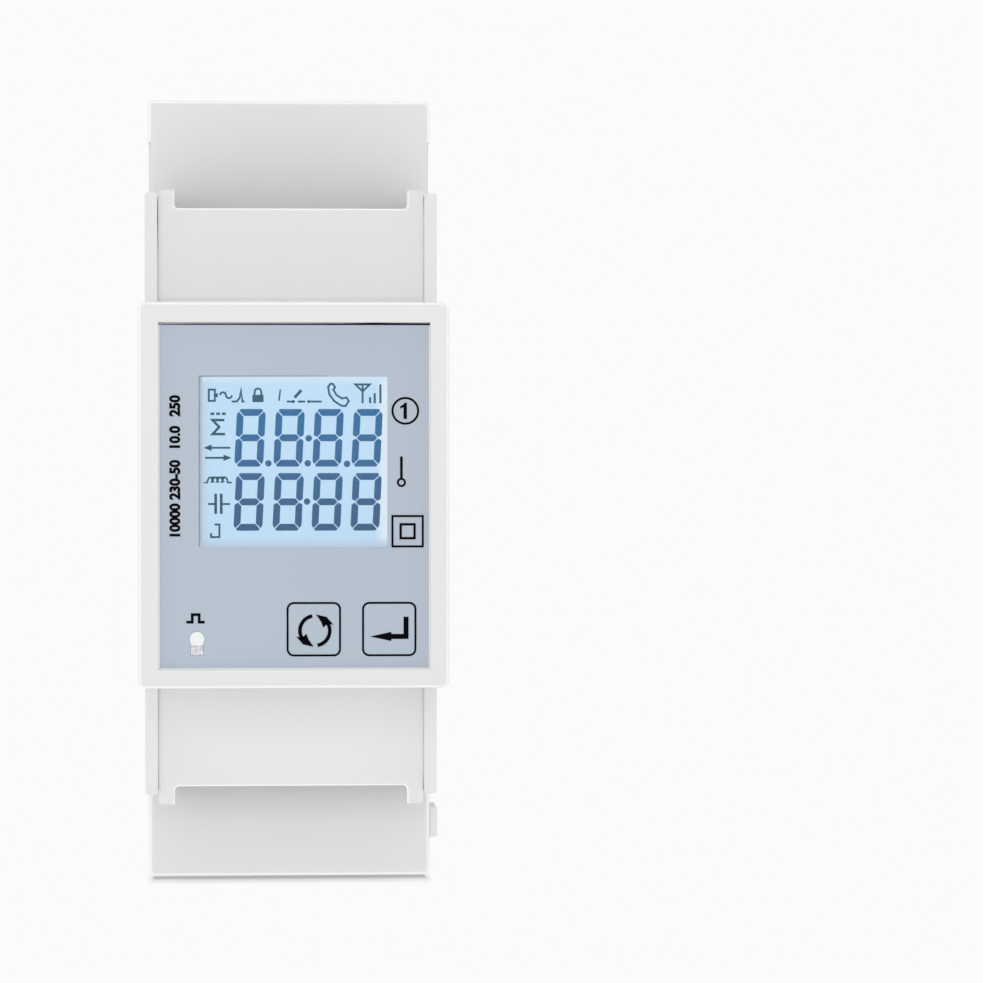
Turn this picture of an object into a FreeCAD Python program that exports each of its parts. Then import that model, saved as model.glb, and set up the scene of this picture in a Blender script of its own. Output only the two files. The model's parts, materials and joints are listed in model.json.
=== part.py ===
import FreeCAD, Part
import math
import os

# Two-module rail-mounted energy meter, in mm. X runs across the width, -Y is the front, +Z is up.
# The origin is on the rail's centre line, in the plane of the rail's front face.

V = FreeCAD.Vector

# Overall sizes
BODY_WIDTH = 35.4
BODY_HEIGHT = 97.6
NOSE_MARGIN = 0.22
NOSE_HEIGHT = 44.5
WALL = 1.6
NOSE_WALL = 1.5
CORNER_RADIUS = 0.7
LEDGE_EDGE_RADIUS = 0.6
NOSE_CORNER_RADIUS = 0.8
NOSE_EDGE_RADIUS = 0.6

# Levels along Y, from the back to the front
Y_BACK = 5.5
Y_SEAT = 0.0
TOP_WALL_FRONT = 0.4
Y_BOARD_REAR = -20.4
Y_SPLIT = -22.0
Y_LEDGE = -25.7
Y_NOSE_REAR = -38.3
Y_COVER = -39.0
Y_CHEEK = -40.1
Y_NOSE = -60.0

# Fits and gaps
LIP_LENGTH = 3.0
LIP_ROOT = 1.8
LIP_THICKNESS = 1.2
RUNNING_CLEARANCE = 0.05
SEATED_CLEARANCE = 0.1
MOVING_GAP = 0.3
KEY_GAP = 0.1
COVER_SIDE_GAP = 0.1
LENS_CLEARANCE = 0.03
WINDOW_CLEARANCE = 0.05
BOARD_SIDE_GAP = 1.0
BOARD_END_GAP = 0.6
DISPLAY_BOARD_GAP = 0.3
BLOCK_SIDE_GAP = 1.4

# Rail recess for a 35 x 7.5 top-hat rail
RAIL_HEIGHT = 35.0
RAIL_THICKNESS = 1.0
HOOK_CATCH = 1.6
RECESS_TOP = RAIL_HEIGHT / 2 + 0.5
RECESS_BOTTOM = -RAIL_HEIGHT / 2 - 0.7
HOOK_DEPTH = 1.4

# Cheeks and terminal covers
CHEEK_THICKNESS = 1.5
CHEEK_TOP_END = 36.2
CHEEK_BOTTOM_END = 36.8
CHEEK_RADIUS = 0.4
COVER_THICKNESS = 1.5
COVER_INNER_END = 22.65
COVER_TOP_END = 36.6
COVER_BOTTOM_END = 38.1
EAR_LENGTH = 2.2
EAR_WIDTH = 1.95
EAR_RADIUS = 0.5
COVER_EDGE_CHAMFER = 0.2
COVER_RIB = 0.8
COVER_RIB_DEPTH = 2.3
HINGE_Y = -37.6
HINGE_Z = 24.2
TRUNNION_RADIUS = 0.8
TRUNNION_LENGTH = 1.1
COVER_INNER_RADIUS = 1.0

# Terminal blocks
CELL_COUNT = 4
BLOCK_END_WALL = 0.3
BLOCK_START = 23.9
BLOCK_END = 34.4
BLOCK_FRONT = -37.1
BLOCK_REAR = -23.6
REBATE_REAR = -35.6
REBATE_END = 24.65
CHAMBER_START = 26.2
CHAMBER_LENGTH = 5.2
CHAMBER_WIDTH = 6.0
CHAMBER_FRONT = -34.8
CHAMBER_REAR = -24.8
HEAD_HOLE_REAR = -35.4
WIRE_RADIUS = 1.55
WIRE_Y = -27.9

# Rising clamp: screw, cage and current bar
SCREW_HEAD_RADIUS = 2.2
SCREW_HEAD_FRONT = -36.9
SCREW_HEAD_REAR = -35.5
SCREW_RADIUS = 1.5
SCREW_TIP = -30.8
CAGE_WIDTH = 5.4
CAGE_LENGTH = 4.6
CAGE_SIDE = 0.9
CAGE_FRONT = -32.3
CAGE_BRIDGE = 1.3
CAGE_JAW_FRONT = -26.3
CAGE_REAR = -25.1
BAR_FRONT = -30.5
BAR_THICKNESS = 1.0
BAR_WIDTH = 3.0
LEG_THICKNESS = 0.8
LEG_Z = 24.9

# Front recess, printed panel, window and keys
PANEL_BORDER = 2.32
PANEL_BOTTOM = -20.0
PANEL_TOP = 19.6
PANEL_CENTRE_X = 0.08
PANEL_FRONT = -59.35
PANEL_THICKNESS = 0.5
PANEL_SIDE_GAP = 0.05
PANEL_TOP_GAP = 0.3
PANEL_BOTTOM_GAP = 0.05
WINDOW_X = 0.14
WINDOW_Z = 3.81
WINDOW_WIDTH = 21.26
WINDOW_HEIGHT = 19.6
WINDOW_FLANGE = 1.05
WINDOW_FLANGE_THICKNESS = 0.9
FLOOR_REAR = -57.2
CYCLE_KEY_X = 2.29
ENTER_KEY_INSET = 4.68
KEY_Z = -15.45
KEY_WIDTH = 5.8
KEY_RADIUS = 0.6
KEY_TRAVEL = 0.35
KEY_PLATE = 0.8
KEY_STEM_HALF = 1.5
KEY_COLLAR_HALF = 2.2
KEY_COLLAR = 0.6
KEY_STEM_END = -55.6
SWITCH_FRONT = -54.1
SWITCH_WIDTH = 6.0
PLUNGER_RADIUS = 1.7
PLUNGER_END = -53.5
LED_INSET = 4.36
LED_Z = -16.57
LENS_RADIUS = 0.87
LENS_FOOT_HALF = 0.72
LENS_FOOT_END = -18.4
LENS_COLLAR_HALF = 1.5
PIPE_END = -55.2
LED_FOOT_HALF = 1.7

# Display module
DISPLAY_BOARD_FRONT = -50.9
BOARD_THICKNESS = 1.6
GLASS_WIDTH = 24.0
GLASS_HEIGHT = 22.0
GLASS_FRONT = -56.3
FRAME_FRONT = -57.1
FRAME_WIDTH = 27.5
FRAME_HEIGHT = 26.5
FRAME_NOTCH = 2.1
PIN_COUNT = 12
PIN_PITCH = 1.8
DISPLAY_POSTS = [(-14.4, 18.8), (14.4, 18.8), (-14.6, -10.9), (14.6, -10.9)]
DISPLAY_POST_HALF = 1.1

# Posts of the main board
BOARD_POST_INSET_X = 3.0
BOARD_POST_INSET_Z = 5.6
BOARD_POST_HALF = 1.8

# Latch and spring
LATCH_TRAVEL = 3.5
CHANNEL_FRONT = 1.2
CHANNEL_STEP = 3.6
CHANNEL_HALF_WIDE = 8.5
CHANNEL_HALF_NARROW = 7.0
LATCH_INSET = 0.7
LATCH_TIP = -15.9
POST_INSET = 7.6
POST_THICKNESS = 1.4
SPRING_LENGTH = 10.9
LATCH_WINDOW_HALF = 2.3
SPRING_RADIUS = 1.5
SPRING_WIRE = 0.25
SPRING_TURNS = 4
SPRING_SIDES = 5
SPRING_Y = 3.25
SPRING_POST_HALF = 1.6

# Side tab and snap notches
TAB_INSET = 4.63
TAB_HEIGHT = 3.72
TAB_OUT = 1.1
TAB_RADIUS = 0.15
NOTCH_INSET = 5.2
NOTCH_DEPTH = 0.35

# Places that follow from the sizes above
HALF_WIDTH = BODY_WIDTH / 2
HALF_HEIGHT = BODY_HEIGHT / 2
HALF_NOSE = HALF_WIDTH + NOSE_MARGIN
HALF_NOSE_HEIGHT = NOSE_HEIGHT / 2
COVER_HALF_WIDTH = HALF_WIDTH - CHEEK_THICKNESS - COVER_SIDE_GAP
PANEL_LEFT = PANEL_CENTRE_X - HALF_NOSE + PANEL_BORDER
PANEL_RIGHT = PANEL_CENTRE_X + HALF_NOSE - PANEL_BORDER
KEY_X = {"cycle": CYCLE_KEY_X, "enter": PANEL_RIGHT - ENTER_KEY_INSET}
LED_X = PANEL_LEFT + LED_INSET
BOARD_HALF_WIDTH = HALF_WIDTH - WALL - BOARD_SIDE_GAP
BOARD_HALF_HEIGHT = HALF_HEIGHT - WALL - BOARD_END_GAP
BOARD_POST_X = BOARD_HALF_WIDTH - BOARD_POST_INSET_X
BOARD_POST_Z = BOARD_HALF_HEIGHT - BOARD_POST_INSET_Z
HEADER_X = -HALF_NOSE + 4.4
BLOCK_HALF_WIDTH = HALF_WIDTH - WALL - BLOCK_SIDE_GAP
CELL_PITCH = 2 * (BLOCK_HALF_WIDTH - BLOCK_END_WALL) / CELL_COUNT
LATCH_END = -HALF_HEIGHT + LATCH_INSET
POST_BOTTOM = -HALF_HEIGHT + POST_INSET
POST_TOP = POST_BOTTOM + POST_THICKNESS
LATCH_WINDOW_TOP = POST_TOP + SPRING_LENGTH
TAB_BOTTOM = -HALF_HEIGHT + TAB_INSET
TAB_TOP = TAB_BOTTOM + TAB_HEIGHT
NOTCH_TOP = HALF_HEIGHT - NOTCH_INSET
CELLS = [(i - (CELL_COUNT - 1) / 2) * CELL_PITCH for i in range(CELL_COUNT)]
CELL_Z = CHAMBER_START + CHAMBER_LENGTH / 2


def box(x0, x1, y0, y1, z0, z1):
    return Part.makeBox(x1 - x0, y1 - y0, z1 - z0, V(x0, y0, z0))


def rod(radius, x, z, y0, y1):
    """Round bar along Y."""
    return Part.makeCylinder(radius, y1 - y0, V(x, y0, z), V(0, 1, 0))


def rod_x(radius, y, z, x0, x1):
    """Round bar along X."""
    return Part.makeCylinder(radius, x1 - x0, V(x0, y, z), V(1, 0, 0))


def span(a, b):
    """Two bounds, the lower first."""
    return min(a, b), max(a, b)


def block(x0, x1, y0, y1, z0, z1, radius):
    """Box along Y whose four long edges are rounded."""
    solid = box(x0, x1, y0, y1, z0, z1)
    edges = [e for e in solid.Edges if abs(e.Vertexes[0].Y - e.Vertexes[1].Y) > abs(y1 - y0) * 0.9]
    return solid.makeFillet(radius, edges)


def side_profile(points, x0, x1):
    """Outline in Y and Z, run across the width from x0 to x1."""
    loop = Part.makePolygon([V(x0, y, z) for y, z in points + points[:1]])
    return Part.Face(loop).extrude(V(x1 - x0, 0, 0))


def edges_where(solid, test):
    return [e for e in solid.Edges if all(test(v.Point) for v in e.Vertexes)]


def mirror_x(solid):
    return solid.mirror(V(0, 0, 0), V(1, 0, 0))


def mirror_z(solid):
    return solid.mirror(V(0, 0, 0), V(0, 0, 1))


def rear_base():
    outer = block(-HALF_WIDTH, HALF_WIDTH, Y_SPLIT, Y_BACK, -HALF_HEIGHT, HALF_HEIGHT, CORNER_RADIUS)
    # The back slopes forward above the rail, so the meter can be tilted on to its hook.
    slope = side_profile([(Y_BACK + 1, 28.0), (Y_BACK, 28.0), (2.2, HALF_HEIGHT + 1),
                          (Y_BACK + 1, HALF_HEIGHT + 1)], -HALF_WIDTH - 1, HALF_WIDTH + 1)
    end = HALF_HEIGHT - WALL
    channel_wall = CHANNEL_FRONT - WALL
    cavity = side_profile([(Y_SPLIT - 1, -end), (channel_wall, -end), (channel_wall, -20.2),
                           (Y_SEAT - WALL, -20.2), (Y_SEAT - WALL, 20.2), (TOP_WALL_FRONT, 20.2),
                           (TOP_WALL_FRONT, end), (Y_SPLIT - 1, end)],
                          -HALF_WIDTH + WALL, HALF_WIDTH - WALL)
    catch = RAIL_HEIGHT / 2 - HOOK_CATCH
    recess = side_profile([(Y_SEAT, RECESS_BOTTOM), (Y_SEAT, RECESS_TOP), (HOOK_DEPTH, RECESS_TOP),
                           (HOOK_DEPTH, catch), (Y_BACK + 1, catch - 0.9), (Y_BACK + 1, RECESS_BOTTOM)],
                          -HALF_WIDTH - 1, HALF_WIDTH + 1)
    channel = box(-CHANNEL_HALF_WIDE, CHANNEL_HALF_WIDE, CHANNEL_FRONT, CHANNEL_STEP,
                  -HALF_HEIGHT - 1, RECESS_BOTTOM + 1)
    slot = box(-CHANNEL_HALF_NARROW, CHANNEL_HALF_NARROW, CHANNEL_STEP - 1, Y_BACK + 1,
               -HALF_HEIGHT - 1, RECESS_BOTTOM + 1)
    # Shallow pockets keep the moulded back even in thickness.
    pockets = [box(*span(s * 10.2, s * 16.0), 2.6, Y_BACK + 1, z0, z1)
               for s in (-1, 1) for z0, z1 in ((-HALF_HEIGHT + 2.8, -35.0), (-33.6, -21.4))]
    pockets += [box(*span(s * 1.0, s * 15.4), 2.0, Y_BACK + 1, 21.4, 31.0) for s in (-1, 1)]
    solid = outer.cut([slope, cavity, recess, channel, slot, tab_window()] + pockets)
    parts = [box(-SPRING_POST_HALF, SPRING_POST_HALF, CHANNEL_FRONT - 0.2, 4.9, POST_BOTTOM, POST_TOP)]
    half = BOARD_POST_HALF
    for x in (-BOARD_POST_X, BOARD_POST_X):
        for z, wall in ((-BOARD_POST_Z, channel_wall), (BOARD_POST_Z, TOP_WALL_FRONT)):
            parts.append(box(x - half, x + half, Y_BOARD_REAR, wall + 0.2, z - half, z + half))
    for side in (-1, 1):
        wall = side * (HALF_WIDTH - WALL)
        for z in (-30.0, -10.0, 10.0, 30.0):
            x0, x1 = span(wall + side * 0.2, wall - side * 0.8)
            parts.append(box(x0, x1, -18.0, Y_SEAT - WALL + 0.2, z - 0.6, z + 0.6))
        # Tongues that lock into the front case.
        for z in (-HALF_HEIGHT + 10.2, HALF_HEIGHT - 12.2):
            x0, x1 = span(wall - side * SEATED_CLEARANCE, wall - side * 0.75)
            tongue = [(-19.5, z), (-24.0, z + 0.5), (-24.0, z + 3.7), (-19.5, z + 4.2)]
            parts.append(side_profile(tongue, x0, x1))
            x0, x1 = span(wall + side * 0.2, wall - side * 0.75)
            parts.append(box(x0, x1, -20.4, -18.6, z, z + 4.2))
    return solid.fuse(parts).removeSplitter()


def tab_window():
    return box(HALF_WIDTH - WALL - 0.1, HALF_WIDTH + 1, -24.6 - SEATED_CLEARANCE, -17.6 + SEATED_CLEARANCE,
               TAB_BOTTOM - SEATED_CLEARANCE, TAB_TOP + SEATED_CLEARANCE)


def cheek(end):
    """Side wall beside the upper terminals on the right, with the blind hole of the cover's trunnion."""
    inner = HALF_WIDTH - CHEEK_THICKNESS
    wall = box(inner, HALF_WIDTH, Y_CHEEK, Y_LEDGE + 1, HALF_NOSE_HEIGHT, end)
    for x in (inner, HALF_WIDTH):
        wall = wall.makeFillet(CHEEK_RADIUS, edges_where(
            wall, lambda p: abs(p.x - x) < 0.01 and abs(p.z - end) < 0.01))
    hole_end = inner + TRUNNION_LENGTH + SEATED_CLEARANCE
    return wall.cut(rod_x(TRUNNION_RADIUS + RUNNING_CLEARANCE, HINGE_Y, HINGE_Z, inner - 1, hole_end))


def front_case():
    ends = block(-HALF_WIDTH, HALF_WIDTH, Y_LEDGE, Y_SPLIT, -HALF_HEIGHT, HALF_HEIGHT, CORNER_RADIUS)
    ends = ends.makeFillet(LEDGE_EDGE_RADIUS, edges_where(ends, lambda p: abs(p.y - Y_LEDGE) < 0.01))
    hollow = box(-HALF_WIDTH + WALL, HALF_WIDTH - WALL, Y_LEDGE + WALL, Y_SPLIT + 1,
                 -HALF_HEIGHT + WALL, HALF_HEIGHT - WALL)
    ring = box(-HALF_WIDTH, HALF_WIDTH, Y_NOSE_REAR, Y_LEDGE + 1, -HALF_NOSE_HEIGHT, HALF_NOSE_HEIGHT)
    top, bottom = cheek(CHEEK_TOP_END), mirror_z(cheek(CHEEK_BOTTOM_END))
    cheeks = [top, mirror_x(top), bottom, mirror_x(bottom)]
    lip_x = HALF_NOSE - NOSE_WALL - SEATED_CLEARANCE
    lip_z = HALF_NOSE_HEIGHT - NOSE_WALL - SEATED_CLEARANCE
    lip = box(-lip_x, lip_x, Y_NOSE_REAR - LIP_LENGTH, Y_NOSE_REAR + LIP_ROOT, -lip_z, lip_z)
    solid = ends.cut(hollow).fuse([ring, lip] + cheeks)
    bore = box(-HALF_WIDTH + WALL, HALF_WIDTH - WALL, Y_NOSE_REAR + LIP_ROOT, Y_SPLIT + 1,
               -lip_z + 0.25, lip_z - 0.25)
    throat = box(-lip_x + LIP_THICKNESS, lip_x - LIP_THICKNESS, Y_NOSE_REAR - LIP_LENGTH - 1, Y_SPLIT,
                 -lip_z + LIP_THICKNESS, lip_z - LIP_THICKNESS)
    well_x = BLOCK_HALF_WIDTH + SEATED_CLEARANCE
    well = box(-well_x, well_x, Y_LEDGE - 1, Y_SPLIT,
               BLOCK_START - SEATED_CLEARANCE, BLOCK_END + SEATED_CLEARANCE)
    notches = [box(*span(side * (HALF_WIDTH - NOTCH_DEPTH), side * (HALF_WIDTH + 1)),
                   Y_LEDGE - 1, Y_SPLIT + 1, CHEEK_TOP_END, NOTCH_TOP) for side in (-1, 1)]
    solid = solid.cut([bore, throat, tab_window(), well, mirror_z(well)] + notches)
    # Bosses press the main board on to the base's posts.
    bosses = [box(x - 1.2, x + 1.2, Y_LEDGE + WALL - 0.3, Y_SPLIT, z - 1.2, z + 1.2)
              for x in (-11.5, 11.5) for z in (-HALF_HEIGHT + 3.6, HALF_HEIGHT - 3.6)]
    return solid.fuse(bosses).removeSplitter()


def terminal_cover(end):
    """Hinged cover of the upper terminals, reaching up to the given height."""
    rear = Y_COVER + COVER_THICKNESS
    plate = box(-COVER_HALF_WIDTH, COVER_HALF_WIDTH, Y_COVER, rear, COVER_INNER_END, end)
    for x in (-COVER_HALF_WIDTH, COVER_HALF_WIDTH):
        plate = plate.makeFillet(EAR_RADIUS, edges_where(
            plate, lambda p: abs(p.x - x) < 0.01 and abs(p.z - end) < 0.01))
    notch = block(-COVER_HALF_WIDTH + EAR_WIDTH, COVER_HALF_WIDTH - EAR_WIDTH, Y_COVER - 1, rear + 1,
                  end - EAR_LENGTH, end + 3, EAR_RADIUS)
    plate = plate.cut(notch)
    plate = plate.makeFillet(COVER_INNER_RADIUS, edges_where(
        plate, lambda p: abs(p.y - Y_COVER) < 0.01 and abs(p.z - COVER_INNER_END) < 0.01))
    plate = plate.makeChamfer(COVER_EDGE_CHAMFER, edges_where(
        plate, lambda p: abs(p.y - Y_COVER) < 0.01 and abs(p.z - end + EAR_LENGTH) < 0.01))
    parts = []
    for side in (-1, 1):
        inner = COVER_HALF_WIDTH - COVER_RIB
        rib = side_profile([(rear - 0.2, 23.4), (rear + 0.9, 23.0), (rear + COVER_RIB_DEPTH, 24.0),
                            (rear + COVER_RIB_DEPTH, end - 3.4), (rear + 1.0, end - 0.7),
                            (rear - 0.2, end - 0.7)], *span(side * inner, side * COVER_HALF_WIDTH))
        pin_end = HALF_WIDTH - CHEEK_THICKNESS + TRUNNION_LENGTH
        parts += [rib, rod_x(TRUNNION_RADIUS, HINGE_Y, HINGE_Z, *span(side * (inner + 0.1), side * pin_end))]
    return plate.fuse(parts).removeSplitter()


def terminal_block():
    """Moulded block of the upper terminals: a chamber, a screw hole and a wire entry for each cell."""
    solid = box(-BLOCK_HALF_WIDTH, BLOCK_HALF_WIDTH, BLOCK_FRONT, BLOCK_REAR, BLOCK_START, BLOCK_END)
    foot = box(-BLOCK_HALF_WIDTH + 0.4, BLOCK_HALF_WIDTH - 0.4, BLOCK_REAR - 0.2, Y_SPLIT,
               BLOCK_START + 2.6, BLOCK_START + 4.0)
    # A rebate leaves room for the cover's inner end as it swings open.
    cuts = [box(-BLOCK_HALF_WIDTH - 1, BLOCK_HALF_WIDTH + 1, BLOCK_FRONT - 1, REBATE_REAR,
                BLOCK_START - 1, REBATE_END)]
    for x in CELLS:
        half = CHAMBER_WIDTH / 2
        cuts.append(box(x - half, x + half, CHAMBER_FRONT, CHAMBER_REAR,
                        CHAMBER_START, CHAMBER_START + CHAMBER_LENGTH))
        cuts.append(rod(SCREW_HEAD_RADIUS + RUNNING_CLEARANCE, x, CELL_Z, BLOCK_FRONT - 1, HEAD_HOLE_REAR))
        shank = SCREW_RADIUS + SEATED_CLEARANCE
        cuts.append(box(x - shank, x + shank, BLOCK_FRONT, CHAMBER_FRONT + 1, CELL_Z - shank, CELL_Z + shank))
        cuts.append(Part.makeCylinder(WIRE_RADIUS, 6.0, V(x, WIRE_Y, BLOCK_END - 5.0), V(0, 0, 1)))
        cuts.append(current_bar(x, SEATED_CLEARANCE / 2))
    # Grooves between the cells lengthen the way that a current would creep.
    for x in CELLS[:-1]:
        middle = x + CELL_PITCH / 2
        cuts.append(box(middle - 0.35, middle + 0.35, BLOCK_FRONT - 1, BLOCK_FRONT + 1.6,
                        BLOCK_START - 1, BLOCK_END + 1))
    return solid.fuse([foot, foot.translated(V(0, 0, 5.2))]).cut(cuts).removeSplitter()


def current_bar(x, grow=0.0):
    """Bent bar: its flat runs through the cage and its leg goes back to the board."""
    half = BAR_WIDTH / 2 + grow
    flat = box(x - half, x + half, BAR_FRONT - grow, BAR_FRONT + BAR_THICKNESS + grow,
               LEG_Z - grow, CHAMBER_START + 4.9 + grow)
    leg = box(x - half, x + half, BAR_FRONT, Y_SPLIT, LEG_Z - grow, LEG_Z + LEG_THICKNESS + grow)
    tail = box(x - 0.8 - grow, x + 0.8 + grow, Y_SPLIT - 0.2, Y_BOARD_REAR + 0.9,
               LEG_Z - grow, LEG_Z + LEG_THICKNESS + grow)
    return flat.fuse([leg, tail])


def terminal_screw(x):
    head = rod(SCREW_HEAD_RADIUS, x, CELL_Z, SCREW_HEAD_FRONT, SCREW_HEAD_REAR)
    shank = rod(SCREW_RADIUS, x, CELL_Z, SCREW_HEAD_REAR - 0.5, SCREW_TIP)
    floor = SCREW_HEAD_FRONT + 0.8
    slot = box(x - 3, x + 3, SCREW_HEAD_FRONT - 1, floor, CELL_Z - 0.35, CELL_Z + 0.35)
    return head.fuse(shank).cut(slot).removeSplitter()


def clamp_cage(x):
    half = CAGE_WIDTH / 2
    z0 = CELL_Z - CAGE_LENGTH / 2
    z1 = z0 + CAGE_LENGTH
    outer = box(x - half, x + half, CAGE_FRONT, CAGE_REAR, z0, z1)
    hollow = box(x - half + CAGE_SIDE, x + half - CAGE_SIDE, CAGE_FRONT + CAGE_BRIDGE, CAGE_JAW_FRONT,
                 z0 - 1, z1 + 1)
    thread = rod(SCREW_RADIUS + RUNNING_CLEARANCE, x, CELL_Z, CAGE_FRONT - 1, CAGE_FRONT + CAGE_BRIDGE + 0.5)
    return outer.cut([hollow, thread])


def front_bezel():
    outer = block(-HALF_NOSE, HALF_NOSE, Y_NOSE, Y_NOSE_REAR, -HALF_NOSE_HEIGHT, HALF_NOSE_HEIGHT,
                  NOSE_CORNER_RADIUS)
    outer = outer.makeFillet(NOSE_EDGE_RADIUS, edges_where(outer, lambda p: abs(p.y - Y_NOSE) < 0.01))
    inner = box(-HALF_NOSE + NOSE_WALL, HALF_NOSE - NOSE_WALL, FLOOR_REAR, Y_NOSE_REAR + 1,
                -HALF_NOSE_HEIGHT + NOSE_WALL, HALF_NOSE_HEIGHT - NOSE_WALL)
    recess = box(PANEL_LEFT - PANEL_SIDE_GAP, PANEL_RIGHT + PANEL_SIDE_GAP, Y_NOSE - 1,
                 PANEL_FRONT + PANEL_THICKNESS, PANEL_BOTTOM - PANEL_BOTTOM_GAP, PANEL_TOP + PANEL_TOP_GAP)
    opening = window_box(WINDOW_FLANGE + SEATED_CLEARANCE, PANEL_FRONT, FLOOR_REAR + 1)
    cuts = [inner, recess, opening]
    for x in KEY_X.values():
        half = KEY_WIDTH / 2 + MOVING_GAP
        cuts.append(box(x - half, x + half, PANEL_FRONT, PANEL_FRONT + KEY_PLATE + KEY_TRAVEL + MOVING_GAP,
                        KEY_Z - half, KEY_Z + half))
        half = KEY_STEM_HALF + RUNNING_CLEARANCE
        cuts.append(box(x - half, x + half, PANEL_FRONT, FLOOR_REAR + 1, KEY_Z - half, KEY_Z + half))
    cuts.append(lens(LENS_CLEARANCE, PANEL_FRONT, FLOOR_REAR + 1))
    # Two notches at the rear edge take the tip of a screwdriver.
    for side in (-1, 1):
        x0, x1 = span(side * (HALF_NOSE - 0.9), side * (HALF_NOSE + 1))
        cuts.append(box(x0, x1, Y_NOSE_REAR - 0.8, Y_NOSE_REAR + 1, -3.0, 3.0))
    half = DISPLAY_POST_HALF
    posts = [box(x - half, x + half, FLOOR_REAR - 0.3, DISPLAY_BOARD_FRONT, z - half, z + half)
             for x, z in DISPLAY_POSTS]
    # Catches on the nose's side walls hold the display board against its posts.
    for side in (-1, 1):
        wall = side * (HALF_NOSE - NOSE_WALL)
        rear = DISPLAY_BOARD_FRONT + BOARD_THICKNESS
        for z in (-14.0, 14.0):
            catch = Part.makePolygon([V(wall + side * 0.2, rear, z), V(wall - side * 0.6, rear, z),
                                      V(wall + side * 0.2, rear + 1.6, z), V(wall + side * 0.2, rear, z)])
            posts.append(Part.Face(catch).extrude(V(0, 0, 4.0)))
    return outer.cut(cuts).fuse(posts).removeSplitter()


def window_box(grow, y0, y1):
    half_x = WINDOW_WIDTH / 2 + grow
    half_z = WINDOW_HEIGHT / 2 + grow
    return box(WINDOW_X - half_x, WINDOW_X + half_x, y0, y1, WINDOW_Z - half_z, WINDOW_Z + half_z)


def lens(grow, y0, y1):
    """Light pipe's section, a round head on a narrower foot, run along Y."""
    head = rod(LENS_RADIUS + grow, LED_X, LED_Z, y0, y1)
    half = LENS_FOOT_HALF + grow
    foot = box(LED_X - half, LED_X + half, y0, y1, LENS_FOOT_END - grow, LED_Z)
    return head.fuse(foot).removeSplitter()


def front_panel():
    rear = PANEL_FRONT + PANEL_THICKNESS
    plate = box(PANEL_LEFT, PANEL_RIGHT, PANEL_FRONT, rear, PANEL_BOTTOM, PANEL_TOP)
    cuts = [window_box(WINDOW_CLEARANCE, PANEL_FRONT - 1, rear + 1),
            lens(LENS_CLEARANCE, PANEL_FRONT - 1, rear + 1)]
    for x in KEY_X.values():
        half = KEY_WIDTH / 2 + KEY_GAP
        cuts.append(block(x - half, x + half, PANEL_FRONT - 1, rear + 1, KEY_Z - half, KEY_Z + half,
                          KEY_RADIUS + KEY_GAP))
    return plate.cut(cuts)


def display_window():
    pane = window_box(0.0, PANEL_FRONT, PANEL_FRONT + PANEL_THICKNESS + 0.1)
    rear = PANEL_FRONT + PANEL_THICKNESS + WINDOW_FLANGE_THICKNESS
    return pane.fuse(window_box(WINDOW_FLANGE, PANEL_FRONT + PANEL_THICKNESS, rear)).removeSplitter()


def lcd_glass():
    half = GLASS_WIDTH / 2
    tall = GLASS_HEIGHT / 2
    front = box(WINDOW_X - half, WINDOW_X + half, GLASS_FRONT, GLASS_FRONT + 1.0,
                WINDOW_Z - tall + 1.2, WINDOW_Z + tall - 1.2)
    rear = box(WINDOW_X - half, WINDOW_X + half, GLASS_FRONT + 1.0, GLASS_FRONT + 2.1,
               WINDOW_Z - tall, WINDOW_Z + tall)
    return front.fuse(rear).removeSplitter()


def lcd_frame():
    half_x = FRAME_WIDTH / 2
    half_z = FRAME_HEIGHT / 2
    outer = block(WINDOW_X - half_x, WINDOW_X + half_x, FRAME_FRONT, DISPLAY_BOARD_FRONT,
                  WINDOW_Z - half_z, WINDOW_Z + half_z, 0.8)
    half = GLASS_WIDTH / 2 + 0.1
    tall = GLASS_HEIGHT / 2 + 0.7
    pocket = box(WINDOW_X - half, WINDOW_X + half, GLASS_FRONT - 0.05, DISPLAY_BOARD_FRONT + 1,
                 WINDOW_Z - tall, WINDOW_Z + tall)
    opening = window_box(0.3, FRAME_FRONT - 1, GLASS_FRONT + 1)
    notches = [box(x - 0.9, x + 0.9, DISPLAY_BOARD_FRONT - FRAME_NOTCH, DISPLAY_BOARD_FRONT + 1,
                   WINDOW_Z - 2.5, WINDOW_Z + 2.5)
               for x in (WINDOW_X - half_x, WINDOW_X + half_x)]
    return outer.cut([pocket, opening] + notches)


def lcd_light_guide():
    half = GLASS_WIDTH / 2
    slab = box(WINDOW_X - half, WINDOW_X + half, GLASS_FRONT + 2.2, DISPLAY_BOARD_FRONT - 0.2,
               WINDOW_Z - 10.4, WINDOW_Z + 10.4)
    return slab.makeChamfer(0.8, edges_where(slab, lambda p: abs(p.y - DISPLAY_BOARD_FRONT + 0.2) < 0.01))


def lcd_pins():
    pins = []
    for i in range(PIN_COUNT):
        x = WINDOW_X + (i - (PIN_COUNT - 1) / 2) * PIN_PITCH
        for side in (-1, 1):
            edge = WINDOW_Z + side * GLASS_HEIGHT / 2
            z0, z1 = span(edge + side * 0.05, edge + side * 0.35)
            pins.append(box(x - 0.2, x + 0.2, GLASS_FRONT + 1.1, DISPLAY_BOARD_FRONT, z0, z1))
    return Part.makeCompound(pins)


def display_board():
    rear = DISPLAY_BOARD_FRONT + BOARD_THICKNESS
    half = HALF_NOSE - NOSE_WALL - DISPLAY_BOARD_GAP
    tall = HALF_NOSE_HEIGHT - NOSE_WALL - DISPLAY_BOARD_GAP
    return box(-half, half, DISPLAY_BOARD_FRONT, rear, -tall, tall)


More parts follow.
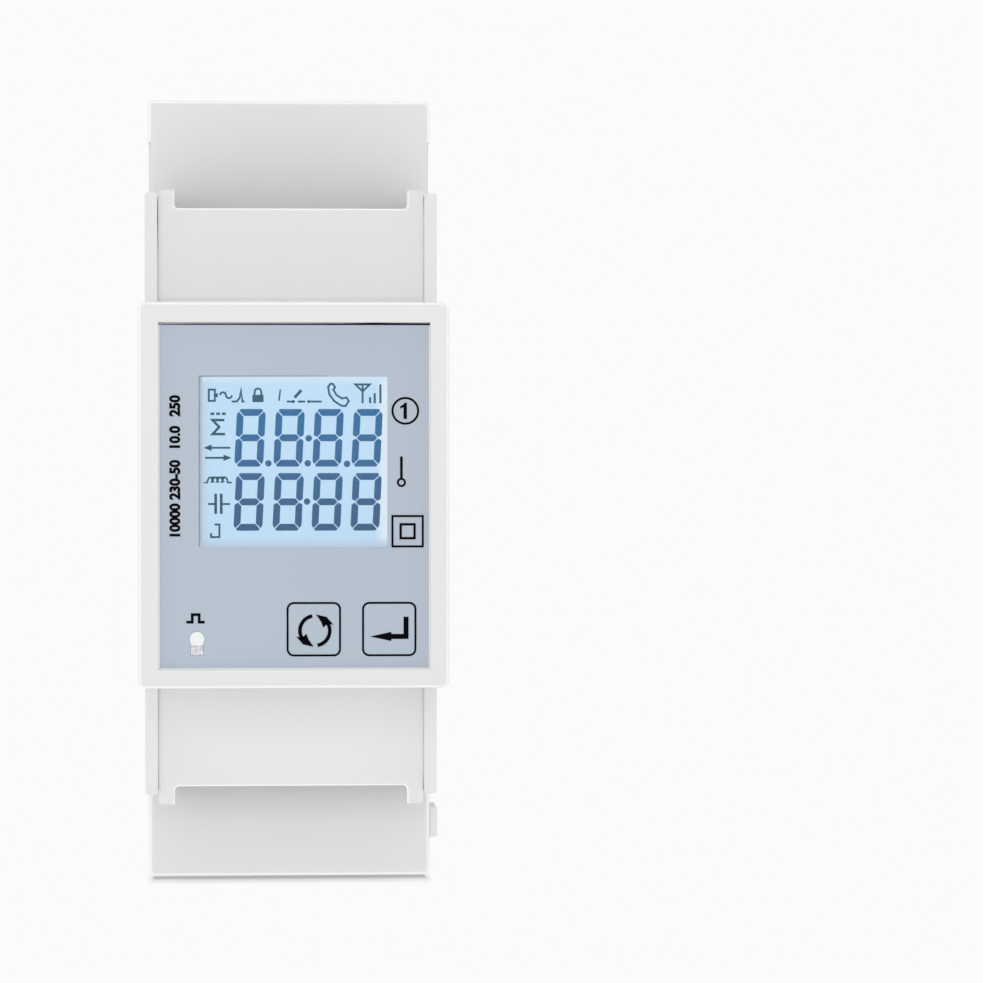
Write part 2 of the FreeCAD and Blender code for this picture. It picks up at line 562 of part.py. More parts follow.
def key(name):
    x = KEY_X[name]
    half = KEY_WIDTH / 2
    plate = block(x - half, x + half, PANEL_FRONT, PANEL_FRONT + KEY_PLATE, KEY_Z - half, KEY_Z + half,
                  KEY_RADIUS)
    half = KEY_STEM_HALF
    stem = box(x - half, x + half, PANEL_FRONT + KEY_PLATE - 0.2, KEY_STEM_END, KEY_Z - half, KEY_Z + half)
    half = KEY_COLLAR_HALF
    collar = box(x - half, x + half, FLOOR_REAR, FLOOR_REAR + KEY_COLLAR, KEY_Z - half, KEY_Z + half)
    return plate.fuse([stem, collar]).removeSplitter()


def key_plunger(name):
    return rod(PLUNGER_RADIUS, KEY_X[name], KEY_Z, KEY_STEM_END, PLUNGER_END)


def tact_switches():
    bodies = []
    for x in KEY_X.values():
        half = SWITCH_WIDTH / 2
        body = box(x - half, x + half, SWITCH_FRONT, DISPLAY_BOARD_FRONT, KEY_Z - half, KEY_Z + half)
        half = PLUNGER_RADIUS + RUNNING_CLEARANCE
        well = box(x - half, x + half, SWITCH_FRONT - 1, PLUNGER_END + KEY_TRAVEL + MOVING_GAP,
                   KEY_Z - half, KEY_Z + half)
        bodies.append(body.cut(well))
    return Part.makeCompound(bodies)


def pulse_led():
    half = LED_FOOT_HALF
    foot = box(LED_X - half, LED_X + half, DISPLAY_BOARD_FRONT - 1.0, DISPLAY_BOARD_FRONT,
               LED_Z - half, LED_Z + half)
    body = rod(1.3, LED_X, LED_Z, DISPLAY_BOARD_FRONT - 3.0, DISPLAY_BOARD_FRONT - 0.8)
    return foot.fuse(body).removeSplitter()


def pulse_light_pipe():
    pipe = lens(0.0, PANEL_FRONT, PIPE_END)
    half = LENS_COLLAR_HALF
    collar = box(LED_X - half, LED_X + half, FLOOR_REAR + 0.01, FLOOR_REAR + 1.0,
                 LENS_FOOT_END - 0.6, LED_Z + half)
    return pipe.fuse(collar).removeSplitter()


def main_board():
    board = box(-BOARD_HALF_WIDTH, BOARD_HALF_WIDTH, Y_SPLIT, Y_BOARD_REAR,
                -BOARD_HALF_HEIGHT, BOARD_HALF_HEIGHT)
    holes = []
    for x in CELLS:
        slot = box(x - 1.0, x + 1.0, Y_SPLIT - 1, Y_BOARD_REAR + 1,
                   LEG_Z - 0.2, LEG_Z + LEG_THICKNESS + 0.2)
        holes += [slot, mirror_z(slot)]
    return board.cut(holes)


def board_header():
    """Tall pin header that joins the two boards."""
    x = HEADER_X
    rear = DISPLAY_BOARD_FRONT + BOARD_THICKNESS
    strips = [box(x - 1.25, x + 1.25, y, y + 2.5, -8.89, 8.89) for y in (rear, Y_SPLIT - 2.5)]
    pins = [box(x - 0.32, x + 0.32, rear, Y_SPLIT, (i - 3) * 2.54 - 0.32, (i - 3) * 2.54 + 0.32)
            for i in range(7)]
    return strips[0].fuse(strips[1:] + pins).removeSplitter()


def power_transformer():
    """Laminated core with its wound bobbin, behind the main board."""
    core = box(-11.0, 11.0, -17.9, -9.9, -11.0, 7.0)
    windows = [box(s * 5.0 - 2.6, s * 5.0 + 2.6, -19, -9, -8.0, 4.0) for s in (-1, 1)]
    grooves = [box(-12.0, 12.0, -18.9, -17.7, z - 0.2, z + 0.2) for z in (-9.6, 5.6)]
    core = core.cut(windows + grooves)
    bobbin = box(-7.2, 7.2, -20.4, -7.4, -7.9, 3.9)
    bobbin = bobbin.cut([box(-2.4, 2.4, -17.9, -9.9, -9, 5)])
    return Part.makeCompound([core, bobbin])


def electrolytic_capacitors():
    edge = BOARD_HALF_WIDTH - 3.0
    cans = ((-5.0, 3.6, 4.0, 13.0), (3.9, 3.6, 4.0, 13.0), (edge, 5.2, 2.5, 8.0))
    return Part.makeCompound([rod(radius, x, z, Y_SPLIT - height, Y_SPLIT) for x, z, radius, height in cans])


def line_capacitor():
    body = box(-10.6, 2.4, -33.4, Y_SPLIT - 0.5, 12.6, 18.0)
    feet = [box(x - 0.5, x + 0.5, Y_SPLIT - 0.6, Y_SPLIT, 13.6, 17.0) for x in (-9.6, 1.4)]
    return body.fuse(feet).removeSplitter()


def varistor():
    disc = Part.makeCylinder(4.3, 3.4, V(9.4, -28.4, 13.6), V(0, 0, 1))
    legs = [box(x - 0.4, x + 0.4, -25.5, Y_SPLIT, z, z + 0.8) for x, z in ((6.9, 14.0), (11.9, 15.8))]
    return disc.fuse(legs).removeSplitter()


def fuse_resistor():
    y = Y_SPLIT - 2.4
    legs = []
    for x in (-10.4, 1.8):
        legs.append(box(x, x + 0.5, y - 0.25, Y_SPLIT, -4.65, -4.15))
    wire = box(-10.4, 2.3, y - 0.25, y + 0.25, -4.65, -4.15)
    return rod_x(1.8, y, -4.4, -8.6, 0.4).fuse(legs + [wire]).removeSplitter()


def metering_chips():
    chips = []
    edge = BOARD_HALF_WIDTH - 3.2
    for x, z, wide, long, high in ((-5.6, -13.6, 7.5, 10.2, 2.3), (3.0, -13.0, 5.0, 5.0, 1.4),
                                   (edge, -3.0, 3.9, 4.9, 1.6)):
        chip = box(x - wide / 2, x + wide / 2, Y_SPLIT - high, Y_SPLIT - 0.2, z - long / 2, z + long / 2)
        count = int(long / 1.27) - 1
        legs = []
        for i in range(count):
            leg_z = z + (i - (count - 1) / 2) * 1.27
            for leg_x in (x - wide / 2 - 0.4, x + wide / 2 + 0.4):
                legs.append(box(leg_x - 0.5, leg_x + 0.5, Y_SPLIT - 0.7, Y_SPLIT, leg_z - 0.2, leg_z + 0.2))
        chips.append(chip.fuse(legs).removeSplitter())
    return Part.makeCompound(chips)


def optocouplers():
    bodies = []
    middle = BOARD_HALF_WIDTH - 4.0
    for z in (-9.6, -15.6):
        body = box(middle - 2.4, middle + 2.4, Y_SPLIT - 3.7, Y_SPLIT - 0.4, z - 3.2 + 0.8, z + 3.2 - 0.8)
        legs = [box(x - 0.3, x + 0.3, Y_SPLIT - 1.6, Y_SPLIT, z + s * 2.4 - 0.3, z + s * 2.4 + 0.3)
                for x in (middle - 1.3, middle + 1.3) for s in (-1, 1)]
        bodies.append(body.fuse(legs).removeSplitter())
    return Part.makeCompound(bodies)


def radio_module():
    seat = DISPLAY_BOARD_FRONT + BOARD_THICKNESS
    board = box(-9.0, 9.0, seat, seat + 0.8, -4.0, 18.0)
    can = box(-8.0, 8.0, seat + 0.8, seat + 3.0, -3.0, 10.0)
    aerial = [box(-7.6 + i * 3.0, -7.0 + i * 3.0, seat + 0.8, seat + 0.9, 11.4, 16.8) for i in range(6)]
    return board.fuse([can] + aerial).removeSplitter()


def backup_cell():
    """Coin cell under its spring strap."""
    seat = DISPLAY_BOARD_FRONT + BOARD_THICKNESS
    cell = rod(5.0, 4.0, -12.0, seat, seat + 2.6)
    strap = box(-2.6, 10.6, seat + 2.6, seat + 2.9, -13.0, -11.0)
    feet = [box(x, x + 0.4, seat, seat + 2.9, -13.0, -11.0) for x in (-2.6, 10.2)]
    return cell.fuse([strap] + feet).removeSplitter()


def din_latch():
    """Sliding catch: its lip goes behind the rail's lower edge, and its window holds the spring."""
    wide = box(-CHANNEL_HALF_WIDE + MOVING_GAP, CHANNEL_HALF_WIDE - MOVING_GAP, CHANNEL_FRONT + MOVING_GAP,
               CHANNEL_STEP - MOVING_GAP, LATCH_END, -21.6)
    narrow = CHANNEL_HALF_NARROW - MOVING_GAP
    front = CHANNEL_FRONT
    spine = side_profile([(front + 1.0, LATCH_END), (front + 1.0, -19.4), (front + 0.15, -18.4),
                          (front + 0.15, LATCH_TIP - 0.3), (front + 0.45, LATCH_TIP),
                          (front + 2.0, LATCH_TIP), (5.2, -18.6), (5.2, LATCH_END)], -narrow, narrow)
    cuts = [box(-LATCH_WINDOW_HALF, LATCH_WINDOW_HALF, 0, 6, POST_BOTTOM - MOVING_GAP, LATCH_WINDOW_TOP)]
    cuts.append(block(-3.0, 3.0, 0, 6, LATCH_END + 1.2, LATCH_END + 3.5, 0.5))
    for side in (-1, 1):
        x0, x1 = span(side * 3.9, side * 5.6)
        cuts.append(box(x0, x1, 3.4, 6, POST_BOTTOM - 0.8, LATCH_WINDOW_TOP + 2.4))
    return wide.fuse(spine).cut(cuts).removeSplitter()


def arc_from(start, tangent, end):
    """Arc that leaves start along the tangent and reaches end."""
    chord = end.sub(start)
    normal = tangent.cross(chord)
    inward = normal.cross(tangent)
    inward.normalize()
    radius = chord.dot(chord) / (2 * chord.dot(inward))
    centre = start.add(inward * radius)
    middle = start.sub(centre).add(end.sub(centre))
    middle.normalize()
    return Part.Arc(start, centre.add(middle * abs(radius)), end)


def latch_spring():
    """Coil along Z between the base's post and the top of the latch's window."""
    low = POST_TOP + SPRING_WIRE
    high = LATCH_WINDOW_TOP - SPRING_WIRE
    pitch = (high - low) / SPRING_TURNS
    tilt = pitch / (2 * math.pi)

    def point(i):
        angle = i * math.pi
        return V(SPRING_RADIUS * math.cos(angle), SPRING_Y + SPRING_RADIUS * math.sin(angle),
                 low + pitch * i / 2)

    def direction(i):
        angle = i * math.pi
        t = V(-SPRING_RADIUS * math.sin(angle), SPRING_RADIUS * math.cos(angle), tilt)
        t.normalize()
        return t

    edges = []
    for i in range(SPRING_TURNS * 2):
        a, b = point(i), point(i + 1)
        ta, tb = direction(i), direction(i + 1)
        chord = b.sub(a)
        both = ta.add(tb)
        k = 2 * (1 - ta.dot(tb))
        reach = (math.sqrt(chord.dot(both) ** 2 + k * chord.dot(chord)) - chord.dot(both)) / k
        joint = a.add(b).add(ta.sub(tb) * reach) * 0.5
        leave = b.sub(tb * reach).sub(a.add(ta * reach))
        leave.normalize()
        edges.append(arc_from(a, ta, joint).toShape())
        edges.append(arc_from(joint, leave, b).toShape())
    start, along = point(0), direction(0)
    side = V(1, 0, 0)
    other = along.cross(side)
    ring = []
    for i in range(SPRING_SIDES + 1):
        angle = 2 * math.pi * i / SPRING_SIDES
        across = side * (SPRING_WIRE * math.cos(angle))
        ring.append(start.add(across).add(other * (SPRING_WIRE * math.sin(angle))))
    tube = Part.Wire(edges).makePipeShell([Part.makePolygon(ring)], True, False)
    # The gap is measured between points of the middle line that lie over half a turn apart.
    points = [p for e in edges for p in e.discretize(9)[:-1]]
    apart = 17
    near = min(p.distanceToPoint(q) for i, p in enumerate(points) for q in points[i + apart:])
    print("latch spring: least gap to itself", round(near - 2 * SPRING_WIRE, 3))
    return tube


def seal_tab():
    inner = box(HALF_WIDTH - WALL, HALF_WIDTH + 0.2, -24.6, -17.6, TAB_BOTTOM, TAB_TOP)
    outer = box(HALF_WIDTH, HALF_WIDTH + TAB_OUT, -24.2, -18.0, TAB_BOTTOM + 0.05, TAB_TOP - 0.05)
    outer = outer.makeFillet(TAB_RADIUS, edges_where(
        outer, lambda p: abs(p.x - HALF_WIDTH - TAB_OUT) < 0.01))
    hole = Part.makeCylinder(0.35, 8.0, V(HALF_WIDTH + 0.5, -21.1, TAB_BOTTOM - 2), V(0, 0, 1))
    return inner.fuse(outer).cut(hole).removeSplitter()


def terminal_bars():
    return Part.makeCompound([current_bar(x).removeSplitter() for x in CELLS])


parts = {
    "rear_base": rear_base(),
    "front_case": front_case(),
    "front_bezel": front_bezel(),
    "front_panel": front_panel(),
    "display_window": display_window(),
    "lcd_glass": lcd_glass(),
    "lcd_frame": lcd_frame(),
    "lcd_light_guide": lcd_light_guide(),
    "lcd_pins": lcd_pins(),
    "display_board": display_board(),
    "tact_switches": tact_switches(),
    "pulse_led": pulse_led(),
    "pulse_light_pipe": pulse_light_pipe(),
    "main_board": main_board(),
    "board_header": board_header(),
    "power_transformer": power_transformer(),
    "electrolytic_capacitors": electrolytic_capacitors(),
    "line_capacitor": line_capacitor(),
    "varistor": varistor(),
    "fuse_resistor": fuse_resistor(),
    "metering_chips": metering_chips(),
    "optocouplers": optocouplers(),
    "radio_module": radio_module(),
    "backup_cell": backup_cell(),
    "terminal_block_top": terminal_block(),
    "terminal_block_bottom": mirror_z(terminal_block()),
    "terminal_bars_top": terminal_bars(),
    "terminal_bars_bottom": mirror_z(terminal_bars()),
    "cover_top": terminal_cover(COVER_TOP_END),
    "cover_bottom": mirror_z(terminal_cover(COVER_BOTTOM_END)),
    "din_latch": din_latch(),
    "latch_spring": latch_spring(),
    "seal_tab": seal_tab(),
}
for name in KEY_X:
    parts["key_" + name] = key(name)
    parts["plunger_" + name] = key_plunger(name)
for i, x in enumerate(CELLS, 1):
    screw = terminal_screw(x)
    cage = clamp_cage(x)
    parts["screw_top_%d" % i] = screw
    parts["cage_top_%d" % i] = cage
    parts["screw_bottom_%d" % i] = mirror_z(screw)
    parts["cage_bottom_%d" % i] = mirror_z(cage)

os.makedirs("parts", exist_ok=True)
for name, shape in parts.items():
    shape.exportStep("parts/" + name + ".step")
    print(name, len(shape.Solids), shape.isValid(), round(shape.Volume, 1))
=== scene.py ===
"""Finishes, display, printed signs, board details and studio for a rail-mounted energy meter."""
import json
import math

import bmesh
import bpy
from mathutils import Matrix, Vector


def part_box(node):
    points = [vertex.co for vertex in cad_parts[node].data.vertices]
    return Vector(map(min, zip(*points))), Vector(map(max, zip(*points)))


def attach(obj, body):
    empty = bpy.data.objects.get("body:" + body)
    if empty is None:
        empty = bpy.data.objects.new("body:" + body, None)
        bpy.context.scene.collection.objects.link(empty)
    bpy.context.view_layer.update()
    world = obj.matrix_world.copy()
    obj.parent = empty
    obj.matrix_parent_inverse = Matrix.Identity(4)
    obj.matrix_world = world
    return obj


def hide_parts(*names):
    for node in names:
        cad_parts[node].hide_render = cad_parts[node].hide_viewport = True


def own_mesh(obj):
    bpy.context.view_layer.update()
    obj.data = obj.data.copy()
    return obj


bl_info = {
    "name": "Rail energy meter",
    "version": (1, 0, 0),
    "blender": (4, 5, 0),
    "location": "3D View > Sidebar > Meter",
    "description": "Dresses the frame of a two-module energy meter and sets up its studio",
    "category": "Object",
}

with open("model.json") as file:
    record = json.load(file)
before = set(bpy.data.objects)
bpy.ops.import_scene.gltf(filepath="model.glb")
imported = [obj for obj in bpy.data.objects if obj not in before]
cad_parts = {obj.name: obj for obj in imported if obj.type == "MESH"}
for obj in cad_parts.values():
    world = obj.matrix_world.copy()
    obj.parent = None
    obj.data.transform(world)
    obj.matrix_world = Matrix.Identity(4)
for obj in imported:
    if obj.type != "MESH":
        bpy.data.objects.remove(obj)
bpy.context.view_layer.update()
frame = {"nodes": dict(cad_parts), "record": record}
NODES = frame["nodes"]

# Places from the frame, in metres
MM = 0.001
PANEL_LOW, PANEL_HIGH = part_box("front_panel")
WINDOW_LOW, WINDOW_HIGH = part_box("display_window")
PANEL_FRONT = PANEL_LOW.y
GLASS_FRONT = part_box("lcd_glass")[0].y
FLOOR_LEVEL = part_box("rear_base")[0].z

# Sizes and places of the solids that their boxes don't show, in mm
PANEL_GAP = 0.05
WINDOW_FLANGE = 1.1
CHEEK_INNER = 16.2
COVER_GAP = 0.1
KEY_GAP = 0.1
LIGHT_FOOT = -17.27
FOOT_DEPTH = 14

WHITE = (1.0, 1.0, 1.0, 1.0)

# Which way each corner of a square lies from its middle
CORNERS = ((1, 1), (-1, 1), (-1, -1), (1, -1))

# How far the signs stand from the places measured in the photo, in mm across and up
PANEL_NUDGE = (-0.21, 0.10)
DISPLAY_NUDGE = (-0.21, 0.0)


def srgb(red, green, blue):
    """A colour as seen on screen, 0 to 255, in the linear numbers that shaders take."""
    def linear(value):
        value /= 255
        return value / 12.92 if value <= 0.04045 else ((value + 0.055) / 1.055) ** 2.4
    return (linear(red), linear(green), linear(blue), 1.0)


def colour_field(name, description, default):
    return bpy.props.FloatVectorProperty(
        name=name, description=description, subtype="COLOR", size=4, min=0, max=1, default=default)


def length_field(name, description, default):
    """A length in metres."""
    return bpy.props.FloatProperty(
        name=name, description=description, default=default, min=0.01 * MM, unit="LENGTH", precision=6)


def amount_field(name, description, default, highest, unit="NONE"):
    return bpy.props.FloatProperty(
        name=name, description=description, default=default, min=0, max=highest, unit=unit)


class MeterColours(bpy.types.PropertyGroup):
    housing: colour_field("Housing", "White of the moulded case and covers", srgb(231, 231, 231))
    panel: colour_field("Panel", "Grey-blue of the printed front panel", srgb(179, 191, 204))
    glow: colour_field("Display glow", "Lit ground of the display", srgb(184, 220, 247))
    segment: colour_field("Segments", "Dark segments of the display", srgb(64, 118, 168))
    # The ink colour is also the painted shade on the walls of the keys and their holes.
    ink: colour_field("Ink", "Ink of the printed signs", srgb(6, 7, 12))


class MeterSizes(bpy.types.PropertyGroup):
    ink_thickness: length_field("Ink thickness", "How far a printed sign stands proud", 0.03 * MM)
    digit_width: length_field("Digit width", "Width of a display digit", 3.36 * MM)
    digit_height: length_field("Digit height", "Height of a display digit", 6.69 * MM)
    digit_stroke: length_field("Segment width", "Width of a digit's segments", 0.80 * MM)
    digit_slant: amount_field("Slant", "Sideways lean of a digit for each unit of its height", 0.05, 1)
    icon_line: length_field("Icon line", "Line width of the display's small signs", 0.23 * MM)
    sign_line: length_field("Sign line", "Line width of the signs on the panel", 0.24 * MM)
    key_line: length_field("Key outline", "Line width of the squares round the keys", 0.19 * MM)
    spring_sides: bpy.props.IntProperty(
        name="Spring wire sides", description="Sides of the spring's round wire", default=12, min=6, max=32)


class MeterStudio(bpy.types.PropertyGroup):
    sky: amount_field("Sky", "Strength of the light from all round", 0.46, 3)
    floor_light: amount_field("Floor light", "Light that the white floor gives back", 0.92, 3)
    key_light: amount_field("Front lamp", "Power of the broad lamp in front", 4.25, 50, "POWER")
    rim_light: amount_field("Edge lamps", "Power of each lamp above and beside it", 1.85, 50, "POWER")
    background: colour_field("Background", "Backdrop as the camera sees it", srgb(252, 251, 252))


class Value:
    """A number in a material's tree. Sums and products with it add the Math nodes they need."""

    def __init__(self, paint, link):
        self.paint = paint
        self.link = link

    def math(self, operation, first, second=0.0):
        return self.paint.add("ShaderNodeMath", {"operation": operation}, {0: first, 1: second})

    def __add__(self, other):
        return self.math("ADD", self, other)

    def __sub__(self, other):
        return self.math("SUBTRACT", self, other)

    def __rsub__(self, other):
        return self.math("SUBTRACT", other, self)

    def __mul__(self, other):
        return self.math("MULTIPLY", self, other)

    def root(self):
        return self.math("SQRT", self)

    def beyond(self, middle, half):
        """How far the value lies outside a stretch, and 0 within it."""
        away = self.math("ABSOLUTE", self - middle)
        return self.math("MAXIMUM", away - half, 0.0)

    __radd__ = __add__
    __rmul__ = __mul__

    def step(self, low, high):
        """0 below low, 1 above high and smooth between them."""
        return self.paint.add("ShaderNodeMapRange", {"interpolation_type": "SMOOTHSTEP"},
                              {"Value": self, "From Min": low, "From Max": high})


class Paint:
    """A node tree of a material or of the world, built from named finishes."""

    def __init__(self, owner):
        owner.use_nodes = True
        self.tree = owner.node_tree
        self.tree.nodes.clear()

    def add(self, kind, settings=None, values=None, output=0):
        """Adds a node: its settings first, then the values or links of its sockets."""
        node = self.tree.nodes.new(kind)
        for name, value in (settings or {}).items():
            setattr(node, name, value)
        for key, value in (values or {}).items():
            if isinstance(value, Value):
                self.tree.links.new(value.link, node.inputs[key])
            else:
                node.inputs[key].default_value = value
        return Value(self, node.outputs[output])

    def place(self):
        return self.add("ShaderNodeTexCoord", output="Object")

    def along(self, axis):
        """One of the object's own coordinates, in metres."""
        return self.add("ShaderNodeSeparateXYZ", None, {0: self.place()}, axis)

    def slope(self):
        """0 on faces that look along an axis, 1 halfway between two axes, as along a rounded edge."""
        normal = self.add("ShaderNodeNewGeometry", output="Normal")
        squares = []
        for axis in range(3):
            part = self.add("ShaderNodeSeparateXYZ", None, {0: normal}, axis)
            squares.append(part * part)
        across, deep, up = squares
        return (across * deep + deep * up + up * across) * 4.0

    def noise(self, scale, detail=2.0, roughness=0.5):
        values = {"Vector": self.place(), "Scale": scale, "Detail": detail, "Roughness": roughness}
        return self.add("ShaderNodeTexNoise", None, values)

    def mix(self, factor, first, second):
        """Two colours mixed, by the node's colour sockets 6 and 7."""
        return self.add("ShaderNodeMix", {"data_type": "RGBA"}, {0: factor, 6: first, 7: second}, 2)

    def bump(self, height, distance, strength):
        values = {"Height": height, "Distance": distance, "Strength": strength}
        return self.add("ShaderNodeBump", None, values)

    def surface(self, **values):
        sockets = {name.replace("_", " "): value for name, value in values.items()}
        self.out(self.add("ShaderNodeBsdfPrincipled", None, sockets))

    def light(self, kind, colour, strength):
        """An Emission or Background node."""
        return self.add("ShaderNode" + kind, None, {"Color": colour, "Strength": strength})

    def choose(self, factor, first, second):
        """The first shader where the factor is 0, the second where it is 1."""
        return self.add("ShaderNodeMixShader", None, {0: factor, 1: first, 2: second})

    def ray(self, kind):
        return self.add("ShaderNodeLightPath", output="Is " + kind + " Ray")

    def out(self, shader, kind="ShaderNodeOutputMaterial"):
        node = self.tree.nodes.new(kind)
        self.tree.links.new(shader.link, node.inputs[0])


def shade(colour, factor):
    """The same colour, lighter or darker."""
    return tuple(min(1.0, part * factor) for part in colour[:3]) + (1.0,)


FINISHES = {}


def finish(name):
    """Starts a material of that name and keeps it for the pieces that share it."""
    FINISHES[name] = bpy.data.materials.new(name)
    return Paint(FINISHES[name])


def moulded(name, colour, roughness=0.42, edge=0.0):
    """Moulded plastic: fine grain, faint flow marks, uneven gloss, and a painted highlight that makes
    rounded edges paler.
    """
    paint = finish(name)
    flow = paint.noise(45.0, 3.0)
    speck = paint.noise(2600.0, 2.0)
    tone = paint.mix(flow, shade(colour, 0.985), shade(colour, 1.01))
    tone = paint.mix(speck.step(0.62, 0.8) * 0.35, tone, shade(colour, 0.97))
    # Painted highlight: where the normal lies between two axes, as on rounded edges, the colour turns
    # paler.
    if edge:
        tone = paint.mix(paint.slope().step(0.3, 0.9) * edge, tone, (0.97, 0.97, 0.97, 1))
    paint.surface(
        Base_Color=tone, Roughness=flow * 0.1 + (roughness - 0.05),
        Normal=paint.bump(speck, 0.012 * MM, 0.35))


def metal(name, colour, roughness=0.3, brushed=900.0):
    """Plated metal with fine rubbed marks and a few dull patches."""
    paint = finish(name)
    rubbed = paint.noise(brushed, 3.0, 0.7)
    dull = paint.noise(220.0, 2.0).step(0.45, 0.75)
    paint.surface(
        Base_Color=paint.mix(dull, colour, shade(colour, 0.85)), Metallic=1.0,
        Roughness=dull * 0.18 + rubbed * 0.12 + (roughness - 0.1),
        Normal=paint.bump(rubbed, 0.01 * MM, 0.4))


def coated(name, colour, roughness=0.35, mottle=140.0):
    """Dipped or sleeved part: even coat with soft lumps."""
    paint = finish(name)
    lump = paint.noise(mottle, 3.0)
    paint.surface(
        Base_Color=paint.mix(lump, shade(colour, 0.9), shade(colour, 1.08)),
        Roughness=lump * 0.15 + (roughness - 0.07), Coat_Weight=0.3,
        Normal=paint.bump(lump, 0.06 * MM, 0.4))


def circuit_board():
    """Solder mask over copper, with paler tracks and a rougher glass weave."""
    paint = finish("circuit_board")
    upright = paint.add("ShaderNodeMapping", None, {0: paint.place(), 2: (math.radians(90), 0, 0)})
    bricks = {"Vector": upright, "Scale": 150.0, "Mortar Size": 0.012, "Brick Width": 1.3,
              "Row Height": 0.32, "Color1": (1, 1, 1, 1), "Color2": (0.7, 0.7, 0.7, 1),
              "Mortar": (0, 0, 0, 1)}
    tracks = paint.add("ShaderNodeTexBrick", {"offset": 0.35, "squash": 0.6}, bricks, "Fac")
    weave = paint.noise(1500.0)
    tone = paint.mix(tracks, srgb(18, 92, 58), srgb(38, 124, 76))
    paint.surface(
        Base_Color=paint.mix(weave * 0.3, tone, srgb(12, 70, 46)), Roughness=weave * 0.15 + 0.28,
        Coat_Weight=0.4, Normal=paint.bump(tracks, 0.035 * MM, 0.6))


def walls(paint):
    """0 on the front face of the panel and its keys, 1 on the walls behind it."""
    return paint.along("Y").step(PANEL_FRONT + 0.01 * MM, PANEL_FRONT + 0.04 * MM)


def printed_panel(colour, ink):
    """Back-printed film: satin colour with a painted light gradient that makes it paler towards the lower
    left, and the walls of the keys' holes painted dark as shade.
    """
    paint = finish("printed_panel")
    across = paint.along("X").step(-16 * MM, 16 * MM)
    up = paint.along("Z").step(-20 * MM, 20 * MM)
    cloud = paint.noise(60.0, 2.0)
    film = paint.noise(3200.0)
    # Painted light: paler towards the lower left, darker towards the upper right.
    tone = paint.mix(across * 0.6 + up * 0.3, srgb(181, 193, 206), srgb(178, 188, 202))
    tone = paint.mix(cloud * 0.3, tone, colour)
    # Painted shade: the walls of the keys' holes take the ink colour, so the gaps round the keys look dark.
    below = 1.0 - paint.along("Z").step(-11 * MM, -10 * MM)
    near_keys = below * paint.along("X").step(-3 * MM, -2 * MM)
    tone = paint.mix(walls(paint) * near_keys, tone, ink)
    paint.surface(
        Base_Color=tone, Roughness=cloud * 0.08 + 0.44, Normal=paint.bump(film, 0.006 * MM, 0.3))


def key_face(colour, ink):
    """A key of the panel's colour with its sides painted dark as shade, so that its gap joins the outline.
    """
    paint = finish("key_face")
    film = paint.noise(3200.0)
    # Painted shade: the key's sides take the ink colour.
    paint.surface(
        Base_Color=paint.mix(walls(paint), colour, ink), Roughness=film * 0.06 + 0.43,
        Normal=paint.bump(film, 0.006 * MM, 0.3))


def lit_display(glow):
    """Backlit ground, with a painted highlight that makes its right and upper edges palest and painted
    shade that makes the left and lower ones greyer.
    """
    paint = finish("lit_display")
    across = paint.along("X")
    up = paint.along("Z")
    cloud = paint.noise(120.0, 2.0)
    left, right = WINDOW_LOW.x + WINDOW_FLANGE * MM, WINDOW_HIGH.x - WINDOW_FLANGE * MM
    low, high = WINDOW_LOW.z + WINDOW_FLANGE * MM, WINDOW_HIGH.z - WINDOW_FLANGE * MM
    tone = paint.mix(cloud, glow, srgb(191, 225, 250))
    # Painted shade along the left and lower edges, painted highlight along the right and upper ones.
    tone = paint.mix(1.0 - across.step(left - 0.3 * MM, left + 1.0 * MM), tone, srgb(194, 212, 233))
    tone = paint.mix(across.step(right - 1.4 * MM, right), tone, srgb(223, 240, 251))
    tone = paint.mix(1.0 - up.step(low - 0.2 * MM, low + 1.2 * MM), tone, srgb(186, 205, 227))
    tone = paint.mix(up.step(high - 1.0 * MM, high + 0.2 * MM), tone, srgb(213, 234, 252))
    paint.surface(
        Base_Color=(0.03, 0.035, 0.04, 1), Roughness=cloud * 0.05 + 0.3, Emission_Color=tone,
        Emission_Strength=0.97)


def segment_ink(name, colour, low):
    """Dark display segments that let a little light through, less of it in the lower row."""
    paint = finish(name)
    cloud = paint.noise(400.0)
    tone = paint.mix(cloud, shade(colour, 0.92), shade(colour, 1.06))
    tone = paint.mix(1.0 - paint.along("Z").step(-8 * MM, 10 * MM), tone, low)
    paint.surface(
        Base_Color=shade(colour, 0.15), Roughness=cloud * 0.1 + 0.4, Emission_Color=tone,
        Specular_IOR_Level=0.1, Emission_Strength=0.85)


def sign_ink(name, colour):
    """Screen-printed matt ink with a fine uneven sheen."""
    paint = finish(name)
    grain = paint.noise(4000.0)
    paint.surface(
        Base_Color=paint.mix(grain, colour, shade(colour, 1.6)), Roughness=grain * 0.2 + 0.6,
        Specular_IOR_Level=0.02, Normal=paint.bump(grain, 0.004 * MM, 0.3))


def clear_pane():
    """Clear window: a faint surface gloss over what lies behind it."""
    paint = finish("clear_pane")
    wipe = paint.noise(180.0, 3.0)
    paint.surface(
        Base_Color=(0.01, 0.012, 0.015, 1), Roughness=wipe * 0.04 + 0.04, Alpha=wipe * 0.02 + 0.04)


def milky(name, colour, foot=-1.0):
    """Milky plastic, streaked with grey below the foot's height."""
    paint = finish(name)
    haze = paint.noise(300.0)
    streak = paint.noise(2200.0, 3.0).step(0.35, 0.65)
    tone = paint.mix(haze, colour, shade(colour, 0.94))
    grey = paint.mix(streak, shade(colour, 0.6), shade(colour, 0.92))
    tone = paint.mix(1.0 - paint.along("Z").step(foot - 0.06 * MM, foot + 0.06 * MM), tone, grey)
    paint.surface(
        Base_Color=tone, Roughness=haze * 0.1 + 0.25, Subsurface_Weight=0.2, Subsurface_Scale=0.5 * MM)


